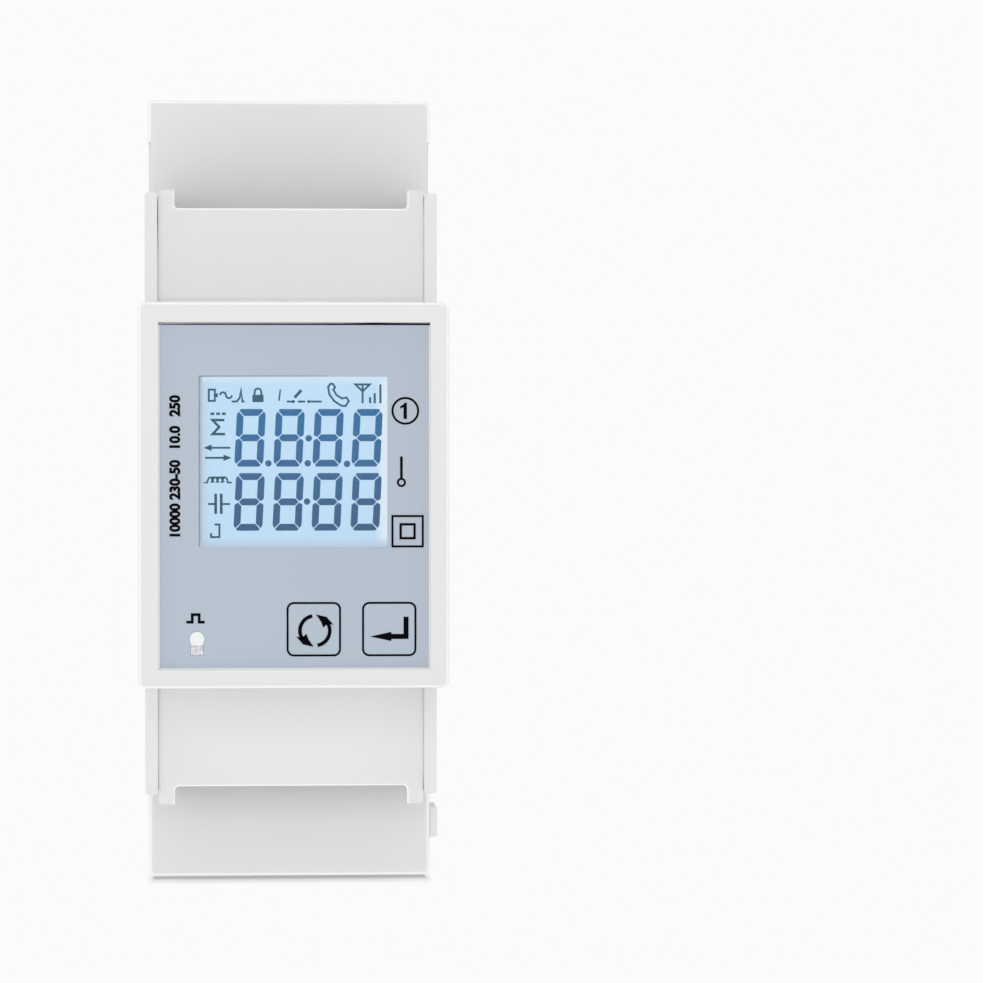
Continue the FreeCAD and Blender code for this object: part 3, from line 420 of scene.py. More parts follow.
def laminated():
    """Stacked core sheets: fine dark lines between grey steel sheets."""
    paint = finish("laminated_core")
    bands = {"Vector": paint.place(), "Scale": 320.0, "Distortion": 0.4, "Detail": 1.0}
    sheets = paint.add("ShaderNodeTexWave", {"bands_direction": "Y"}, bands, "Fac")
    rust = paint.noise(160.0, 3.0)
    tone = paint.mix(sheets, srgb(70, 68, 66), srgb(128, 126, 122))
    paint.surface(
        Base_Color=paint.mix(rust.step(0.55, 0.8) * 0.4, tone, srgb(96, 74, 56)), Metallic=0.6,
        Roughness=rust * 0.2 + 0.35, Normal=paint.bump(sheets, 0.05 * MM, 0.5))


def wear(material, *nodes):
    """Gives nodes of the frame their finish."""
    for node in nodes:
        data = NODES[node].data
        if not data.materials:
            data.materials.append(None)
        for i in range(len(data.materials)):
            data.materials[i] = FINISHES[material]


def put(name, data):
    """A new object in the scene."""
    item = bpy.data.objects.new(name, data)
    bpy.context.scene.collection.objects.link(item)
    return item


def keep(mesh, name, material, body):
    """Makes a finished piece of a mesh that stands in its place."""
    mesh.materials.clear()
    mesh.materials.append(FINISHES[material])
    piece = put(name, mesh)
    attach(piece, body)
    return piece


class Print:
    """Flat signs on one plane that faces the front, as thin closed shapes in millimetres."""

    def __init__(self, level, thickness, nudge=(0.0, 0.0)):
        self.mesh = bmesh.new()
        self.nudge = nudge
        self.rear = level
        self.front = level - thickness

    def band(self, near, far):
        """Faces between two rings with the same count of points."""
        for i in range(len(near)):
            j = (i + 1) % len(near)
            self.mesh.faces.new([near[i], near[j], far[j], far[i]])

    def fill(self, *rings):
        """A closed shape from its outline and its hole's ring, if it has one."""
        aside, lift = self.nudge
        layers = []
        for y in (self.front, self.rear):
            layers.append([])
            for ring in rings:
                spots = [((x + aside) * MM, y, (z + lift) * MM) for x, z in ring]
                layers[-1].append([self.mesh.verts.new(spot) for spot in spots])
        for layer in layers:
            if len(rings) == 1:
                self.mesh.faces.new(layer[0])
            else:
                self.band(*layer)
        for near, far in zip(*layers):
            self.band(near, far)

    def line(self, points, width, closed=False):
        """A line of even width through the points, with mitred bends."""
        points = [Vector(p) for p in points]
        count = len(points)
        left, right = [], []
        for i, point in enumerate(points):
            ahead = points[(i + 1) % count] - point if closed or i < count - 1 else point - points[i - 1]
            behind = point - points[i - 1] if closed or i > 0 else ahead
            ahead, behind = ahead.normalized(), behind.normalized()
            across = Vector((-(ahead.y + behind.y), ahead.x + behind.x)).normalized()
            reach = width / 2 / max(0.35, across.dot(Vector((-ahead.y, ahead.x))))
            left.append(point + across * reach)
            right.append(point - across * reach)
        if closed:
            self.fill(left, right)
        else:
            self.fill(left + right[::-1])

    def dot(self, centre, radius):
        self.fill(circle(centre, radius, 20))

    def ring(self, centre, radius, width, count=48):
        """A ring of even line width whose outer edge has the given radius."""
        self.line(circle(centre, radius - width / 2, count), width, True)

    def rounded(self, centre, half, corner, width):
        """A square with round corners, drawn as a line inside its half width."""
        reach = half - width / 2
        inner = reach - corner
        points = []
        for turn, (sx, sz) in enumerate(CORNERS):
            points += round_points((centre[0] + sx * inner, centre[1] + sz * inner), corner,
                                   turn * 90, turn * 90 + 90, 7)
        self.line(points, width, True)

    def words(self, text, place, height, turn, weight):
        """Plain figures set from the built-in letters and centred on a place."""
        curve = bpy.data.curves.new("figures", "FONT")
        curve.body = text
        curve.offset = weight
        curve.resolution_u = 4
        curve.fill_mode = "FRONT"
        flat = settled(put("figures", curve))
        low = Vector([min(v.co[i] for v in flat.vertices) for i in range(2)])
        high = Vector([max(v.co[i] for v in flat.vertices) for i in range(2)])
        spin = Matrix.Rotation(turn, 2) * (height / (high.y - low.y))
        shift = Vector(place) + Vector(self.nudge) - spin @ (low + high) / 2
        spots = [spin @ v.co.xy + shift for v in flat.vertices]
        letters = bmesh.new()
        points = [letters.verts.new((spot.x * MM, self.rear, spot.y * MM)) for spot in spots]
        for face in flat.polygons:
            letters.faces.new([points[i] for i in face.vertices])
        bmesh.ops.remove_doubles(letters, verts=letters.verts, dist=1e-7)
        swept = bmesh.ops.extrude_face_region(letters, geom=letters.faces[:])
        moved = [v for v in swept["geom"] if isinstance(v, bmesh.types.BMVert)]
        bmesh.ops.translate(letters, verts=moved, vec=(0, self.front - self.rear, 0))
        bmesh.ops.recalc_face_normals(letters, faces=letters.faces)
        done = bpy.data.meshes.new("figures")
        letters.to_mesh(done)
        letters.free()
        self.mesh.from_mesh(done)
        bpy.data.meshes.remove(done)
        bpy.data.meshes.remove(flat)

    def make(self, name, material, body, slot):
        bmesh.ops.recalc_face_normals(self.mesh, faces=self.mesh.faces)
        data = bpy.data.meshes.new(name)
        self.mesh.to_mesh(data)
        self.mesh.free()
        keep(data, name, material, body)


def round_points(centre, radius, start, end, count):
    """Points along an arc, its angles in degrees."""
    points = []
    for i in range(count):
        angle = math.radians(start + (end - start) * i / (count - 1))
        points.append((centre[0] + radius * math.cos(angle), centre[1] + radius * math.sin(angle)))
    return points


def circle(centre, radius, count):
    return round_points(centre, radius, 0, 360 - 360 / count, count)


def settled(item):
    """The mesh that an object's letters or modifiers make. The object itself goes."""
    bpy.context.view_layer.update()
    mesh = bpy.data.meshes.new_from_object(item.evaluated_get(bpy.context.evaluated_depsgraph_get()))
    bpy.data.objects.remove(item)
    return mesh


def join_nodes(tree, feeds, steps):
    """Adds a tree's inputs, links them and its steps, and gives the inputs' keys."""
    keys = {}
    for label, kind, node, socket in feeds:
        if label not in keys:
            added = tree.interface.new_socket(label, in_out="INPUT", socket_type="NodeSocket" + kind)
            keys[label] = added.identifier
    tree.interface.new_socket("Geometry", in_out="OUTPUT", socket_type="NodeSocketGeometry")
    inputs = tree.nodes.new("NodeGroupInput")
    output = tree.nodes.new("NodeGroupOutput")
    for label, kind, node, socket in feeds:
        tree.links.new(inputs.outputs[label], node.inputs[socket])
    for earlier, later in zip(steps, (*steps[1:], output)):
        tree.links.new(earlier.outputs[0], later.inputs[0])
    return keys


def spring_tree():
    """Nodes that wind a round wire into a coil with closed ends."""
    tree = bpy.data.node_groups.new("coil_spring", "GeometryNodeTree")
    add = tree.nodes.new
    coil = add("GeometryNodeCurveSpiral")
    coil.inputs["Resolution"].default_value = 32
    wire = add("GeometryNodeCurvePrimitiveCircle")
    tube = add("GeometryNodeCurveToMesh")
    tube.inputs["Fill Caps"].default_value = True
    tree.links.new(wire.outputs[0], tube.inputs["Profile Curve"])
    move = add("GeometryNodeTransform")
    smooth = add("GeometryNodeSetShadeSmooth")
    real = add("GeometryNodeRealizeInstances")
    paint = add("GeometryNodeSetMaterial")
    feeds = (("Turns", "Float", coil, "Rotations"), ("Radius", "Float", coil, "Start Radius"),
             ("Radius", "Float", coil, "End Radius"), ("Height", "Float", coil, "Height"),
             ("Wire radius", "Float", wire, "Radius"), ("Sides", "Int", wire, "Resolution"),
             ("Foot", "Vector", move, "Translation"), ("Finish", "Material", paint, "Material"))
    return tree, join_nodes(tree, feeds, (coil, tube, move, smooth, real, paint))


def row_tree():
    """Nodes that set equal drops along a row, as solder joints."""
    tree = bpy.data.node_groups.new("part_row", "GeometryNodeTree")
    add = tree.nodes.new
    row = add("GeometryNodeMeshLine")
    ball = add("GeometryNodeMeshUVSphere")
    ball.inputs["Radius"].default_value = 0.5
    ball.inputs["Rings"].default_value = 6
    set_out = add("GeometryNodeInstanceOnPoints")
    tree.links.new(ball.outputs[0], set_out.inputs["Instance"])
    real = add("GeometryNodeRealizeInstances")
    paint = add("GeometryNodeSetMaterial")
    feeds = (("Count", "Int", row, "Count"), ("Start", "Vector", row, "Start Location"),
             ("Step", "Vector", row, "Offset"), ("Sides", "Int", ball, "Segments"),
             ("Size", "Vector", set_out, "Scale"), ("Finish", "Material", paint, "Material"))
    return tree, join_nodes(tree, feeds, (row, set_out, real, paint))


def grown(tree, keys, values):
    """The plain mesh that a node tree makes with these inputs."""
    holder = put("holder", bpy.data.meshes.new("holder"))
    modifier = holder.modifiers.new("nodes", "NODES")
    modifier.node_group = tree
    for label, value in values.items():
        modifier[keys[label]] = value
    done = settled(holder)
    if not done.polygons:
        raise RuntimeError("the node tree " + tree.name + " made no faces")
    return done


class METER_OT_finishes(bpy.types.Operator):
    """Makes the meter's materials."""

    bl_idname = "meter.finishes"
    bl_label = "Finishes"

    def execute(self, context):
        colours = context.scene.meter_colours
        white = tuple(colours.housing)
        moulded("white_case", white, edge=0.8)
        moulded("white_cover", shade(white, 0.995), 0.45, edge=0.9)
        moulded("white_part", srgb(226, 226, 224), 0.4)
        moulded("grey_tab", srgb(234, 234, 235), 0.45)
        moulded("grey_latch", srgb(205, 206, 208), 0.48)
        moulded("dark_block", srgb(52, 54, 58), 0.5)
        moulded("black_plastic", srgb(26, 27, 29), 0.45)
        # Painted highlight, paler than the housing, for the strip along the panel's edges
        moulded("edge_highlight_paint", srgb(244, 244, 246), 0.5)
        key_face(srgb(179, 191, 205), tuple(colours.ink))
        printed_panel(tuple(colours.panel), tuple(colours.ink))
        lit_display(tuple(colours.glow))
        segment_ink("segment_ink", tuple(colours.segment), srgb(76, 98, 132))
        segment_ink("icon_ink", srgb(62, 104, 124), srgb(66, 92, 108))
        sign_ink("sign_ink", tuple(colours.ink))
        # Painted shade for the dark line in the gap above the panel
        sign_ink("gap_shade_line", srgb(24, 24, 34))
        # Painted shade for the faint line beside the display
        sign_ink("window_shade_line", srgb(128, 137, 150))
        clear_pane()
        milky("light_window", srgb(244, 246, 248), LIGHT_FOOT * MM)
        milky("light_guide", srgb(235, 238, 240))
        metal("zinc_steel", srgb(196, 199, 204), 0.32)
        metal("tinned_metal", srgb(205, 206, 206), 0.28)
        metal("brass", srgb(204, 172, 96), 0.3)
        metal("spring_steel", srgb(150, 152, 156), 0.25)
        metal("solder", srgb(190, 192, 194), 0.3, 500.0)
        coated("blue_coat", srgb(38, 92, 158))
        coated("yellow_case", srgb(222, 176, 40), 0.4, 60.0)
        coated("beige_coat", srgb(206, 186, 148), 0.5)
        coated("black_sleeve", srgb(30, 32, 40), 0.3, 90.0)
        circuit_board()
        laminated()
        return {"FINISHED"}


class METER_OT_housing(bpy.types.Operator):
    """Finishes the case, the covers and the side tab, and adds thin lips beside the covers, a painted shade
    line above the panel and a painted highlight along its other edges.
    """

    bl_idname = "meter.housing"
    bl_label = "Housing"

    # Places across and the thickness there of the painted shade line above the panel, in mm
    gap_shade_profile = ((12.0, 0.22), (9.4, 0.26), (5.5, 0.18), (0.0, 0.15), (-11.6, 0.13))

    # Side, end, and the heights where each lip begins to taper and where it ends, in mm
    lips = ((-1, 1, 28.0, 32.5), (1, 1, 34.0, 36.0), (-1, -1, 34.0, 36.6), (1, -1, 34.0, 36.6))
    lip_start = 22.3

    def gap_shade_line(self):
        """Painted shade: a dark strip in the gap between the panel's upper edge and the cap."""
        thickness = 0.04 * MM
        left, right = PANEL_LOW.x / MM + 0.3, PANEL_HIGH.x / MM
        low = PANEL_HIGH.z / MM + 0.02
        upper = [(x, low + thick) for x, thick in ((right, 0.20), *self.gap_shade_profile, (left, 0.07))]
        line = Print(PANEL_HIGH.y, thickness)
        line.fill([(left, low), (right, low)] + upper)
        line.make("gap_shade_line", "gap_shade_line", "housing", "black_plastic")

    def panel_edge_highlight(self):
        """Painted highlight: a pale strip along the panel's other three edges."""
        width, proud = 0.13, 0.02 * MM
        reach = PANEL_GAP - 0.01 - width / 2
        left, right = PANEL_LOW.x / MM - reach, PANEL_HIGH.x / MM + reach
        low, high = PANEL_LOW.z / MM - reach, PANEL_HIGH.z / MM
        highlight_strip = Print(PANEL_LOW.y, proud)
        highlight_strip.line([(left, high), (left, low), (right, low), (right, high)], width)
        highlight_strip.make("panel_edge_highlight", "edge_highlight_paint", "housing", "white_housing")

    def side_lips(self):
        """Thin lips in the gaps beside the covers."""
        rear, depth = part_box("cover_top")[0].y + 0.65 * MM, 0.6 * MM
        sheet = Print(rear, depth)
        thick = COVER_GAP - 0.015
        for side, way, straight, tail in self.lips:
            wall, face = side * CHEEK_INNER, side * (CHEEK_INNER - thick)
            tip = side * (CHEEK_INNER - 0.2 * thick)
            sheet.fill([(wall, way * self.lip_start), (face, way * self.lip_start), (face, way * straight),
                        (tip, way * tail), (wall, way * tail)])
        sheet.make("side_lips", "white_case", "housing", "white_housing")

    def execute(self, context):
        wear("white_case", "rear_base", "front_case", "front_bezel")
        wear("white_cover", "cover_top", "cover_bottom")
        wear("grey_tab", "seal_tab")
        self.gap_shade_line()
        self.panel_edge_highlight()
        self.side_lips()
        return {"FINISHED"}


class METER_OT_panel(bpy.types.Operator):
    """Finishes the panel, its window, the keys and the pulse light."""

    bl_idname = "meter.panel"
    bl_label = "Front panel"

    def execute(self, context):
        wear("printed_panel", "front_panel")
        wear("clear_pane", "display_window")
        wear("key_face", "key_cycle", "key_enter")
        wear("light_window", "pulse_light_pipe")
        wear("light_guide", "pulse_led")
        wear("grey_latch", "plunger_cycle", "plunger_enter")
        return {"FINISHED"}


class METER_OT_display(bpy.types.Operator):
    """Draws the lit display: two rows of digits and the small signs round them."""

    bl_idname = "meter.display"
    bl_label = "Display"

    # Middles of each row's digits across, then the row's height, in mm
    rows = (((-4.82, -0.29, 4.24, 8.77), 6.61), ((-4.93, -0.40, 4.13, 8.66), -0.83))

    # Middles of the decimal points and the colon, in mm
    points = ((-2.70, 3.65), (1.87, 3.65), (6.44, 3.58), (1.99, 6.55), (1.79, -0.79))
    point_radius = 0.38

    # Foot of the small signs in the display's top row, in mm
    foot = 10.82

    def digit(self, sheet, centre, sizes):
        """Seven segments with bevelled corners, leaning a little to the right."""
        half = sizes.digit_width / MM / 2
        tall = sizes.digit_height / MM / 2
        wide = sizes.digit_stroke / MM
        bevel, gap, lean = 0.42, 0.09, sizes.digit_slant
        inner, tip = half - wide - gap / 2, half - wide / 2 - gap
        shoulder, corner = half - bevel - gap / 2, half - bevel / 2 - gap
        bar = [(-corner, tall - bevel / 2), (-shoulder, tall), (shoulder, tall), (corner, tall - bevel / 2),
               (inner, tall - wide), (-inner, tall - wide)]
        middle = [(-tip, 0), (-inner, wide / 2), (inner, wide / 2),
                  (tip, 0), (inner, -wide / 2), (-inner, -wide / 2)]
        side = [(-half, tall - bevel - 0.3), (-half + 0.07, tall - bevel - gap),
                (-half + bevel / 2, tall - bevel / 2 - gap), (-half + wide, tall - wide - gap),
                (-half + wide, wide / 2 + gap), (-half + wide / 2, gap), (-half, gap + 0.22)]
        shapes = [middle, bar, [(x, -z) for x, z in bar]]
        shapes += [[(sx * x, sz * z) for x, z in side] for sx in (-1, 1) for sz in (-1, 1)]
        for shape in shapes:
            sheet.fill([(centre[0] + x + z * lean, centre[1] + z) for x, z in shape])

    def reception(self, sheet, line):
        """Aerial with three bars beside it."""
        mast, low = 8.25, 10.62
        sheet.line([(7.41, 12.81), (9.09, 12.81), (mast, 12.0)], line, True)
        sheet.line([(mast, 12.7), (mast, low)], line)
        for x, top in ((9.12, 11.33), (9.66, 11.79), (10.32, 12.81)):
            sheet.line([(x, low), (x, top)], line * 1.1)

    def handset(self, sheet, line):
        sheet.line([(4.50, 12.88), (4.24, 12.51), (4.39, 11.64), (4.96, 10.87), (5.77, 10.34),
                    (6.28, 10.30), (6.64, 10.87), (6.39, 11.28), (5.83, 11.18), (5.21, 11.59),
                    (4.85, 12.20), (5.06, 12.46), (4.80, 12.87)], line, True)

    def switch(self, sheet, line):
        """Open contact between two terminals, with a tick before it."""
        for start, end in ((-0.55, 0.03), (0.72, 1.58), (2.20, 3.50)):
            sheet.line([(start, self.foot), (end, self.foot)], line)
        for x in (0.20, 2.00):
            sheet.dot((x, self.foot), 0.19)
        sheet.line([(0.35, 11.28), (1.15, 12.15)], line * 1.5)
        sheet.line([(-1.30, 12.23), (-1.46, 10.9)], line * 0.8)

    def battery(self, sheet, line):
        left, right, middle = -9.60, -8.9, 11.55
        sheet.line([(left, 10.9), (right, 10.9), (right, 12.2), (left, 12.2)], line, True)
        sheet.line([(right, middle), (-8.55, middle)], line * 2)

    def wave(self, sheet, line):
        upper = round_points((-7.95, 11.55), 0.34, 180, 0, 8)
        lower = round_points((-7.27, 11.55), 0.34, 180, 360, 8)
        sheet.line(upper + lower[1:], line)

    def pulse(self, sheet, line):
        rise, peak, fall = (-6.0, 11.3), (-5.86, 12.3), (-5.72, self.foot)
        sheet.line([(-6.95, self.foot), (-6.35, self.foot), rise, peak, fall, (-5.45, self.foot)], line)

    def padlock(self, sheet, line):
        left, right, top = -4.55, -3.25, 11.6
        sheet.fill([(left, 10.75), (right, 10.75), (right, top), (left, top)])
        bow = round_points((-3.9, 11.95), 0.38, 180, 0, 9)
        sheet.line([(-4.3, top)] + bow + [(-3.5, top)], line)

    def total(self, sheet, line):
        """Sum sign under three dashes."""
        sheet.line([(-7.80, 8.67), (-9.16, 8.67), (-8.40, 7.86), (-9.16, 7.04), (-7.71, 7.04)], line * 1.3)
        for i in range(3):
            sheet.line([(-9.4 + i * 0.66, 9.40), (-8.95 + i * 0.66, 9.40)], line * 1.3)

    def arrows(self, sheet, line):
        """The upper arrow to the left and the lower one to the right."""
        for tail, tip, z in ((-7.1, -10.22, 5.46), (-10.04, -6.95, 4.29)):
            way = 1 if tip > tail else -1
            sheet.line([(tail, z), (tip - way * 0.5, z)], line)
            sheet.fill([(tip, z), (tip - way * 0.95, z + 0.38), (tip - way * 0.95, z - 0.38)])

    def coil(self, sheet, line):
        """Four tall humps between two leads."""
        level, stretch = 1.42, 2.1
        points = [(-10.22, level), (-9.74, level)]
        for i in range(4):
            hump = round_points((-9.46 + i * 0.58, level), 0.29, 180, 0, 9)
            points += [(x, level + (z - level) * stretch) for x, z in hump]
        sheet.line(points + [(-6.95, level)], line * 0.85)

    def capacitor(self, sheet, line):
        """Two plates with their leads."""
        level = -1.07
        for lead, plate in ((-9.71, -8.81), (-7.15, -8.17)):
            sheet.line([(lead, level), (plate, level)], line)
            sheet.line([(plate, 0.13), (plate, -2.22)], line * 1.4)

    def hook(self, sheet, line):
        """Line with three square bends."""
        low, high, right = -4.91, -3.45, -8.38
        sheet.line([(-9.35, -4.45), (-9.35, low), (right, low), (right, high), (-8.94, high)], line)

    def execute(self, context):
        sizes = context.scene.meter_sizes
        wear("lit_display", "lcd_glass")
        wear("white_part", "lcd_frame")
        wear("light_guide", "lcd_light_guide")
        wear("tinned_metal", "lcd_pins")
        digits = Print(GLASS_FRONT, sizes.ink_thickness, DISPLAY_NUDGE)
        for centres, z in self.rows:
            for x in centres:
                self.digit(digits, (x, z), sizes)
        for point in self.points:
            digits.dot(point, self.point_radius)
        digits.make("display_digits", "segment_ink", "housing", "lcd")
        icons = Print(GLASS_FRONT, sizes.ink_thickness, DISPLAY_NUDGE)
        for draw in (self.reception, self.handset, self.switch, self.battery, self.wave, self.pulse,
                     self.padlock, self.total, self.arrows, self.coil, self.capacitor, self.hook):
            draw(icons, sizes.icon_line / MM)
        icons.make("display_signs", "icon_ink", "housing", "lcd")
        return {"FINISHED"}


class METER_OT_signs(bpy.types.Operator):
    """Prints the plain signs on the panel and the two keys, and adds a painted shade line beside the
    display.
    """

    bl_idname = "meter.signs"
    bl_label = "Printed signs"

    # Outlines of a numeral 1 and of an arrow head, in mm from their sign's middle
    one = ((-0.20, -0.93), (0.18, -0.93), (0.18, 0.93), (-0.06, 0.93), (-0.24, 0.72), (-0.58, 0.52),
           (-0.58, 0.24), (-0.20, 0.42))
    head = ((0.12, 1.88), (1.36, 1.58), (2.17, 0.66), (1.50, 0.80), (0.95, 0.36), (0.74, 1.00))

    # Middles of the signs beside the display, in mm
    ringed_one = (13.06, 9.63)
    lamp = (12.61, 1.37)
    squares = (13.33, -4.26)

    # Figures up the left edge with the middle of each group, in mm
    figures = (("10000 230-50", -0.42), ("10.0", 6.63), ("250", 10.2))

    def outline(self, panel, node, sizes):
        """The rounded square on the panel round a key's hole. Gives the key's middle."""
        low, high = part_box(node)
        centre = ((low.x + high.x) / 2 / MM - PANEL_NUDGE[0], (low.z + high.z) / 2 / MM - PANEL_NUDGE[1])
        half, line = (high.x - low.x) / 2 / MM, sizes.key_line / MM
        corner = 0.74
        panel.rounded(centre, half + KEY_GAP / 2 + line, corner, line)
        return centre

    def beside_display(self, sheet, line):
        """Ringed numeral, lamp on a stem, square within a square, step and figures."""
        across, up = self.ringed_one
        sheet.ring(self.ringed_one, 1.60, line, 64)
        sheet.fill([(across + x, up + z) for x, z in self.one])
        sheet.line([(self.lamp[0], 4.37), (self.lamp[0], 1.86)], line * 1.25)
        sheet.ring(self.lamp, 0.53, line)
        across, up = self.squares
        for half, width in ((1.87, line), (0.94, line * 1.15)):
            reach = half - width / 2
            sheet.line([(across + sx * reach, up + sz * reach) for sx, sz in CORNERS], width, True)
        foot, top = -14.70, -13.83
        sheet.line([(-12.18, foot), (-11.50, foot), (-11.50, top), (-10.70, top), (-10.70, foot),
                    (-10.06, foot)], line * 1.3)
        aside, height, weight = -13.48, 1.28, 0.045
        for text, z in self.figures:
            sheet.words(text, (aside, z), height, math.radians(90), weight)

    def cycle_sign(self, sheet, centre, line):
        """Two arrows that chase each other round the key's middle."""
        across, up = centre[0] + 0.12, centre[1] - 0.17
        radius, sweep = 1.72, 118
        for start, way in ((-80, 1), (100, -1)):
            sheet.line(round_points((across, up), radius, start, start + sweep, 20), line * 1.75)
            sheet.fill([(across + way * x, up + way * z) for x, z in self.head])
        sheet.make("cycle_sign", "sign_ink", "key_cycle", "key_print")

    def enter_sign(self, sheet, line):
        """Arrow that comes down and turns to the left."""
        shaft = -16.41
        sheet.line([(13.15, -14.13), (13.15, shaft), (11.4, shaft)], line * 2.4)
        sheet.fill([(9.01, shaft), (11.45, -15.88), (11.45, -16.94)])
        sheet.make("enter_sign", "sign_ink", "key_enter", "key_print")

    def window_shade_line(self, thickness):
        """Painted shade: a faint dark line along the left and upper edges of the display."""
        shade_strip = Print(PANEL_FRONT, thickness)
        width, turn_end = 0.14, 4.0
        middle = WINDOW_LOW.x / MM + WINDOW_FLANGE - 0.42
        left, right = middle - width / 2, middle + width / 2
        low, top = WINDOW_LOW.z / MM + WINDOW_FLANGE, WINDOW_HIGH.z / MM - WINDOW_FLANGE + 0.21
        shade_strip.fill([(left, low), (right, low), (right, top - width), (turn_end, top - 0.03),
                     (turn_end, top), (left, top)])
        shade_strip.make("window_shade_line", "window_shade_line", "housing", "panel_print")

    def execute(self, context):
        sizes = context.scene.meter_sizes
        line = sizes.sign_line / MM
        sheet, cycle, enter = [Print(PANEL_FRONT, sizes.ink_thickness, PANEL_NUDGE) for i in range(3)]
        self.beside_display(sheet, line)
        centre = self.outline(sheet, "key_cycle", sizes)
        self.cycle_sign(cycle, centre, line)
        self.outline(sheet, "key_enter", sizes)
        self.enter_sign(enter, line)
        sheet.make("panel_signs", "sign_ink", "housing", "panel_print")
        self.window_shade_line(sizes.ink_thickness)
        return {"FINISHED"}


class METER_OT_terminals(bpy.types.Operator):
    """Finishes the terminal blocks, bars, screws and clamp cages under the covers."""

    bl_idname = "meter.terminals"
    bl_label = "Terminals"

    def execute(self, context):
        for end in ("top", "bottom"):
            wear("dark_block", "terminal_block_" + end)
            wear("brass", "terminal_bars_" + end)
            for cell in range(1, 5):
                wear("zinc_steel", "screw_%s_%d" % (end, cell), "cage_%s_%d" % (end, cell))
        return {"FINISHED"}


class METER_OT_boards(bpy.types.Operator):
    """Finishes the two boards with their parts, and adds the rows of solder joints."""

    bl_idname = "meter.boards"
    bl_label = "Boards"

    pins = 7
    pitch = 2.54 * MM
    joint_size = (1.5 * MM, 0.7 * MM, 1.5 * MM)

    def execute(self, context):
        wear("circuit_board", "display_board", "main_board")
        wear("black_plastic", "board_header", "tact_switches", "metering_chips")
        wear("laminated_core", "power_transformer")
        wear("black_sleeve", "electrolytic_capacitors")
        wear("yellow_case", "line_capacitor")
        wear("blue_coat", "varistor")
        wear("beige_coat", "fuse_resistor")
        wear("white_part", "optocouplers")
        wear("tinned_metal", "radio_module", "backup_cell")
        tree, keys = row_tree()
        low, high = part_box("board_header")
        middle = (low.x + high.x) / 2
        proud = 0.1 * MM
        for end, level in (("front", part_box("display_board")[0].y - proud),
                           ("rear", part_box("main_board")[1].y + proud)):
            mesh = grown(tree, keys, {
                "Count": self.pins, "Start": (middle, level, -(self.pins - 1) / 2 * self.pitch),
                "Step": (0, 0, self.pitch), "Size": self.joint_size, "Sides": 12,
                "Finish": FINISHES["solder"]})
            keep(mesh, "header_joints_" + end, "solder", "housing")
        return {"FINISHED"}


class METER_OT_latch(bpy.types.Operator):
    """Finishes the rail latch and winds its coil spring."""

    bl_idname = "meter.latch"
    bl_label = "Latch and spring"

    turns = 4.0
    wire = 0.25 * MM

    def execute(self, context):
        wear("grey_latch", "din_latch")
        wear("spring_steel", "latch_spring")
        low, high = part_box("latch_spring")
        joints = frame["record"]["behaviour"]["joints"]
        travel = next(joint["range_m"][1] for joint in joints if joint["name"] == "din_latch_slide")
        centre_y = (low.y + high.y) / 2
        tree, keys = spring_tree()
        mesh = grown(tree, keys, {
            "Turns": self.turns, "Radius": (high.x - low.x) / 2 - self.wire,
            "Height": high.z - low.z - 2 * self.wire, "Wire radius": self.wire,
            "Sides": context.scene.meter_sizes.spring_sides, "Foot": (0.0, centre_y, low.z + self.wire),
            "Finish": FINISHES["spring_steel"]})
        spring = keep(mesh, "latch_coil", "spring_steel", "housing")
        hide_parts("latch_spring")
        length = high.z - low.z
        (length - travel) / length
        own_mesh(spring)
        return {"FINISHED"}


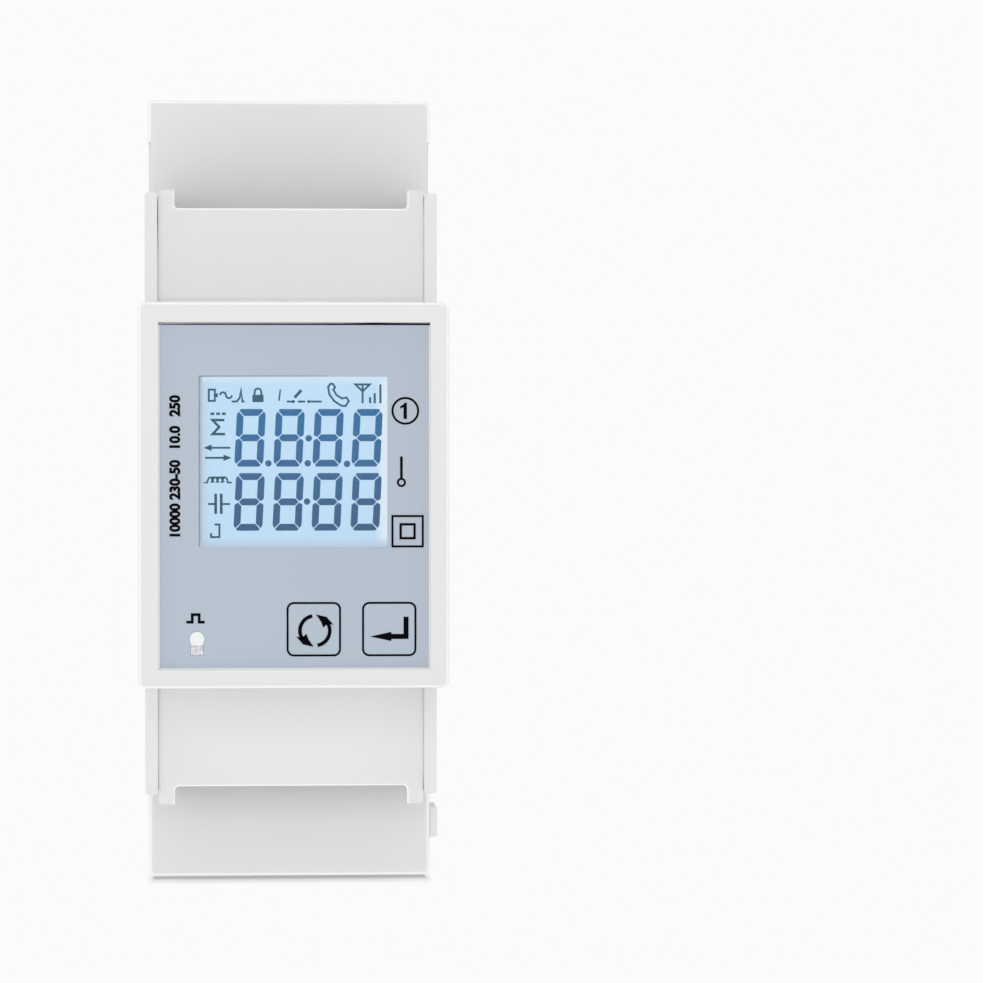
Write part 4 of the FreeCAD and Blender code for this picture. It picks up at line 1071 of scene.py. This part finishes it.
class METER_OT_studio(bpy.types.Operator):
    """Sets the pale floor, the soft light and the camera."""

    bl_idname = "meter.studio"
    bl_label = "Studio"

    # The camera, fitted to the photo's edges, with its lens and sensor in mm
    eye = (-6.14 * MM, -420 * MM, 8.07 * MM)
    heading = math.radians(2.433)
    pitch = math.radians(-1.2124)
    lens = 114.67
    sensor = 36.0
    lens_shift = 0.12

    # Place and size of the lamps above and beside the meter
    rim_lamps = (("top_lamp", (0, -0.12, 0.80), (0.8, 0.5)), ("side_lamp", (-0.80, -0.12, 0.0), (0.5, 0.8)),
                 ("side_lamp", (0.80, -0.12, 0.0), (0.5, 0.8)))

    def floor_paint(self, studio):
        """White floor with a painted contact shadow where the meter stands, that fades into the backdrop.
        """
        paint = finish("floor")
        low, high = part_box("rear_base")
        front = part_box("front_case")[0].y + FOOT_DEPTH * MM
        inset = 0.7 * MM
        across = paint.along("X").beyond((low.x + high.x) / 2, (high.x - low.x) / 2 - inset)
        deep = paint.along("Y").beyond((front + high.y) / 2, (high.y - front) / 2)
        # The shade fades six times sooner beside the foot than in front of it
        aside = across * 6.0
        far = (aside * aside + deep * deep).root()
        grain = paint.noise(30.0)
        white = paint.mix(grain, (0.93, 0.93, 0.93, 1), (0.95, 0.95, 0.95, 1))
        # Painted contact shadow: the floor's colour darkens to grey close to the foot.
        painted_contact_shadow, fade = far.step(0.0, 1.5 * MM), far.step(-2.5 * MM, 6.5 * MM)
        matt = paint.add("ShaderNodeBsdfPrincipled", None, {
            "Base Color": paint.mix(painted_contact_shadow, (0.5, 0.5, 0.5, 1), white),
            "Roughness": grain * 0.1 + 0.7, "Specular IOR Level": 0.2})
        seen = paint.choose(fade, matt, paint.light("Emission", tuple(studio.background), 1.0))
        bounce = paint.light("Emission", WHITE, studio.floor_light)
        paint.out(paint.choose(paint.ray("Camera"), bounce, seen))

    def floor(self, studio):
        half = 3.0
        corners = [(sx * half, sy * half, FLOOR_LEVEL) for sx, sy in CORNERS]
        data = bpy.data.meshes.new("floor")
        data.from_pydata(corners, [], [(0, 1, 2, 3)])
        self.floor_paint(studio)
        data.materials.append(FINISHES["floor"])
        put("floor", data)

    def lamp(self, name, place, aim, size, power):
        light = bpy.data.lights.new(name, "AREA")
        light.shape = "RECTANGLE"
        light.size, light.size_y = size
        light.energy = power
        holder = put(name, light)
        holder.location = place
        holder.rotation_euler = (Vector(aim) - Vector(place)).to_track_quat("-Z", "Y").to_euler()

    def sky(self, context, studio):
        """Even white light, and the backdrop's colour for the camera and in reflections."""
        world = bpy.data.worlds.new("studio")
        context.scene.world = world
        paint = Paint(world)
        even = paint.light("Background", WHITE, studio.sky)
        backdrop = paint.light("Background", tuple(studio.background), 1.0)
        seen = paint.ray("Camera") + paint.ray("Glossy") + paint.ray("Transmission")
        paint.out(paint.choose(seen, even, backdrop), "ShaderNodeOutputWorld")

    def camera(self, context):
        camera = bpy.data.cameras.new("camera")
        camera.sensor_width = self.sensor
        camera.lens = self.lens
        camera.shift_x = self.lens_shift
        holder = put("camera", camera)
        holder.location = self.eye
        level, rise = math.cos(self.pitch), math.sin(self.pitch)
        ahead = Vector((math.sin(self.heading) * level, math.cos(self.heading) * level, rise))
        holder.rotation_euler = ahead.to_track_quat("-Z", "Y").to_euler()
        context.scene.camera = holder
        context.scene.view_settings.view_transform = "Standard"

    def execute(self, context):
        studio = context.scene.meter_studio
        self.floor(studio)
        self.sky(context, studio)
        self.lamp("front_lamp", (-0.10, -0.95, -0.01), (0, -0.03, 0), (0.9, 0.8), studio.key_light)
        for name, place, size in self.rim_lamps:
            self.lamp(name, place, (0, -0.02, 0), size, studio.rim_light)
        self.camera(context)
        return {"FINISHED"}


class METER_PT_panel(bpy.types.Panel):
    """The meter's pieces in the sidebar."""

    bl_idname = "METER_PT_panel"
    bl_label = "Rail energy meter"
    bl_space_type = "VIEW_3D"
    bl_region_type = "UI"
    bl_category = "Meter"

    def draw(self, context):
        layout = self.layout
        for group in (context.scene.meter_colours, context.scene.meter_sizes, context.scene.meter_studio):
            box = layout.box()
            for name in group.bl_rna.properties.keys():
                if name not in ("rna_type", "name"):
                    box.prop(group, name)
        for step in STEPS:
            layout.operator(step.bl_idname)


STEPS = (METER_OT_finishes, METER_OT_housing, METER_OT_panel, METER_OT_display, METER_OT_signs,
         METER_OT_terminals, METER_OT_boards, METER_OT_latch, METER_OT_studio)
GROUPS = {"meter_colours": MeterColours, "meter_sizes": MeterSizes, "meter_studio": MeterStudio}
CLASSES = (*GROUPS.values(), *STEPS, METER_PT_panel)


def register():
    for item in CLASSES:
        bpy.utils.register_class(item)
    for name, group in GROUPS.items():
        setattr(bpy.types.Scene, name, bpy.props.PointerProperty(type=group))


def unregister():
    for name in GROUPS:
        delattr(bpy.types.Scene, name)
    for item in reversed(CLASSES):
        bpy.utils.unregister_class(item)


def main():
    register()
    for step in STEPS:
        group, name = step.bl_idname.split(".")
        getattr(getattr(bpy.ops, group), name)()


if __name__ == "__main__":
    main()
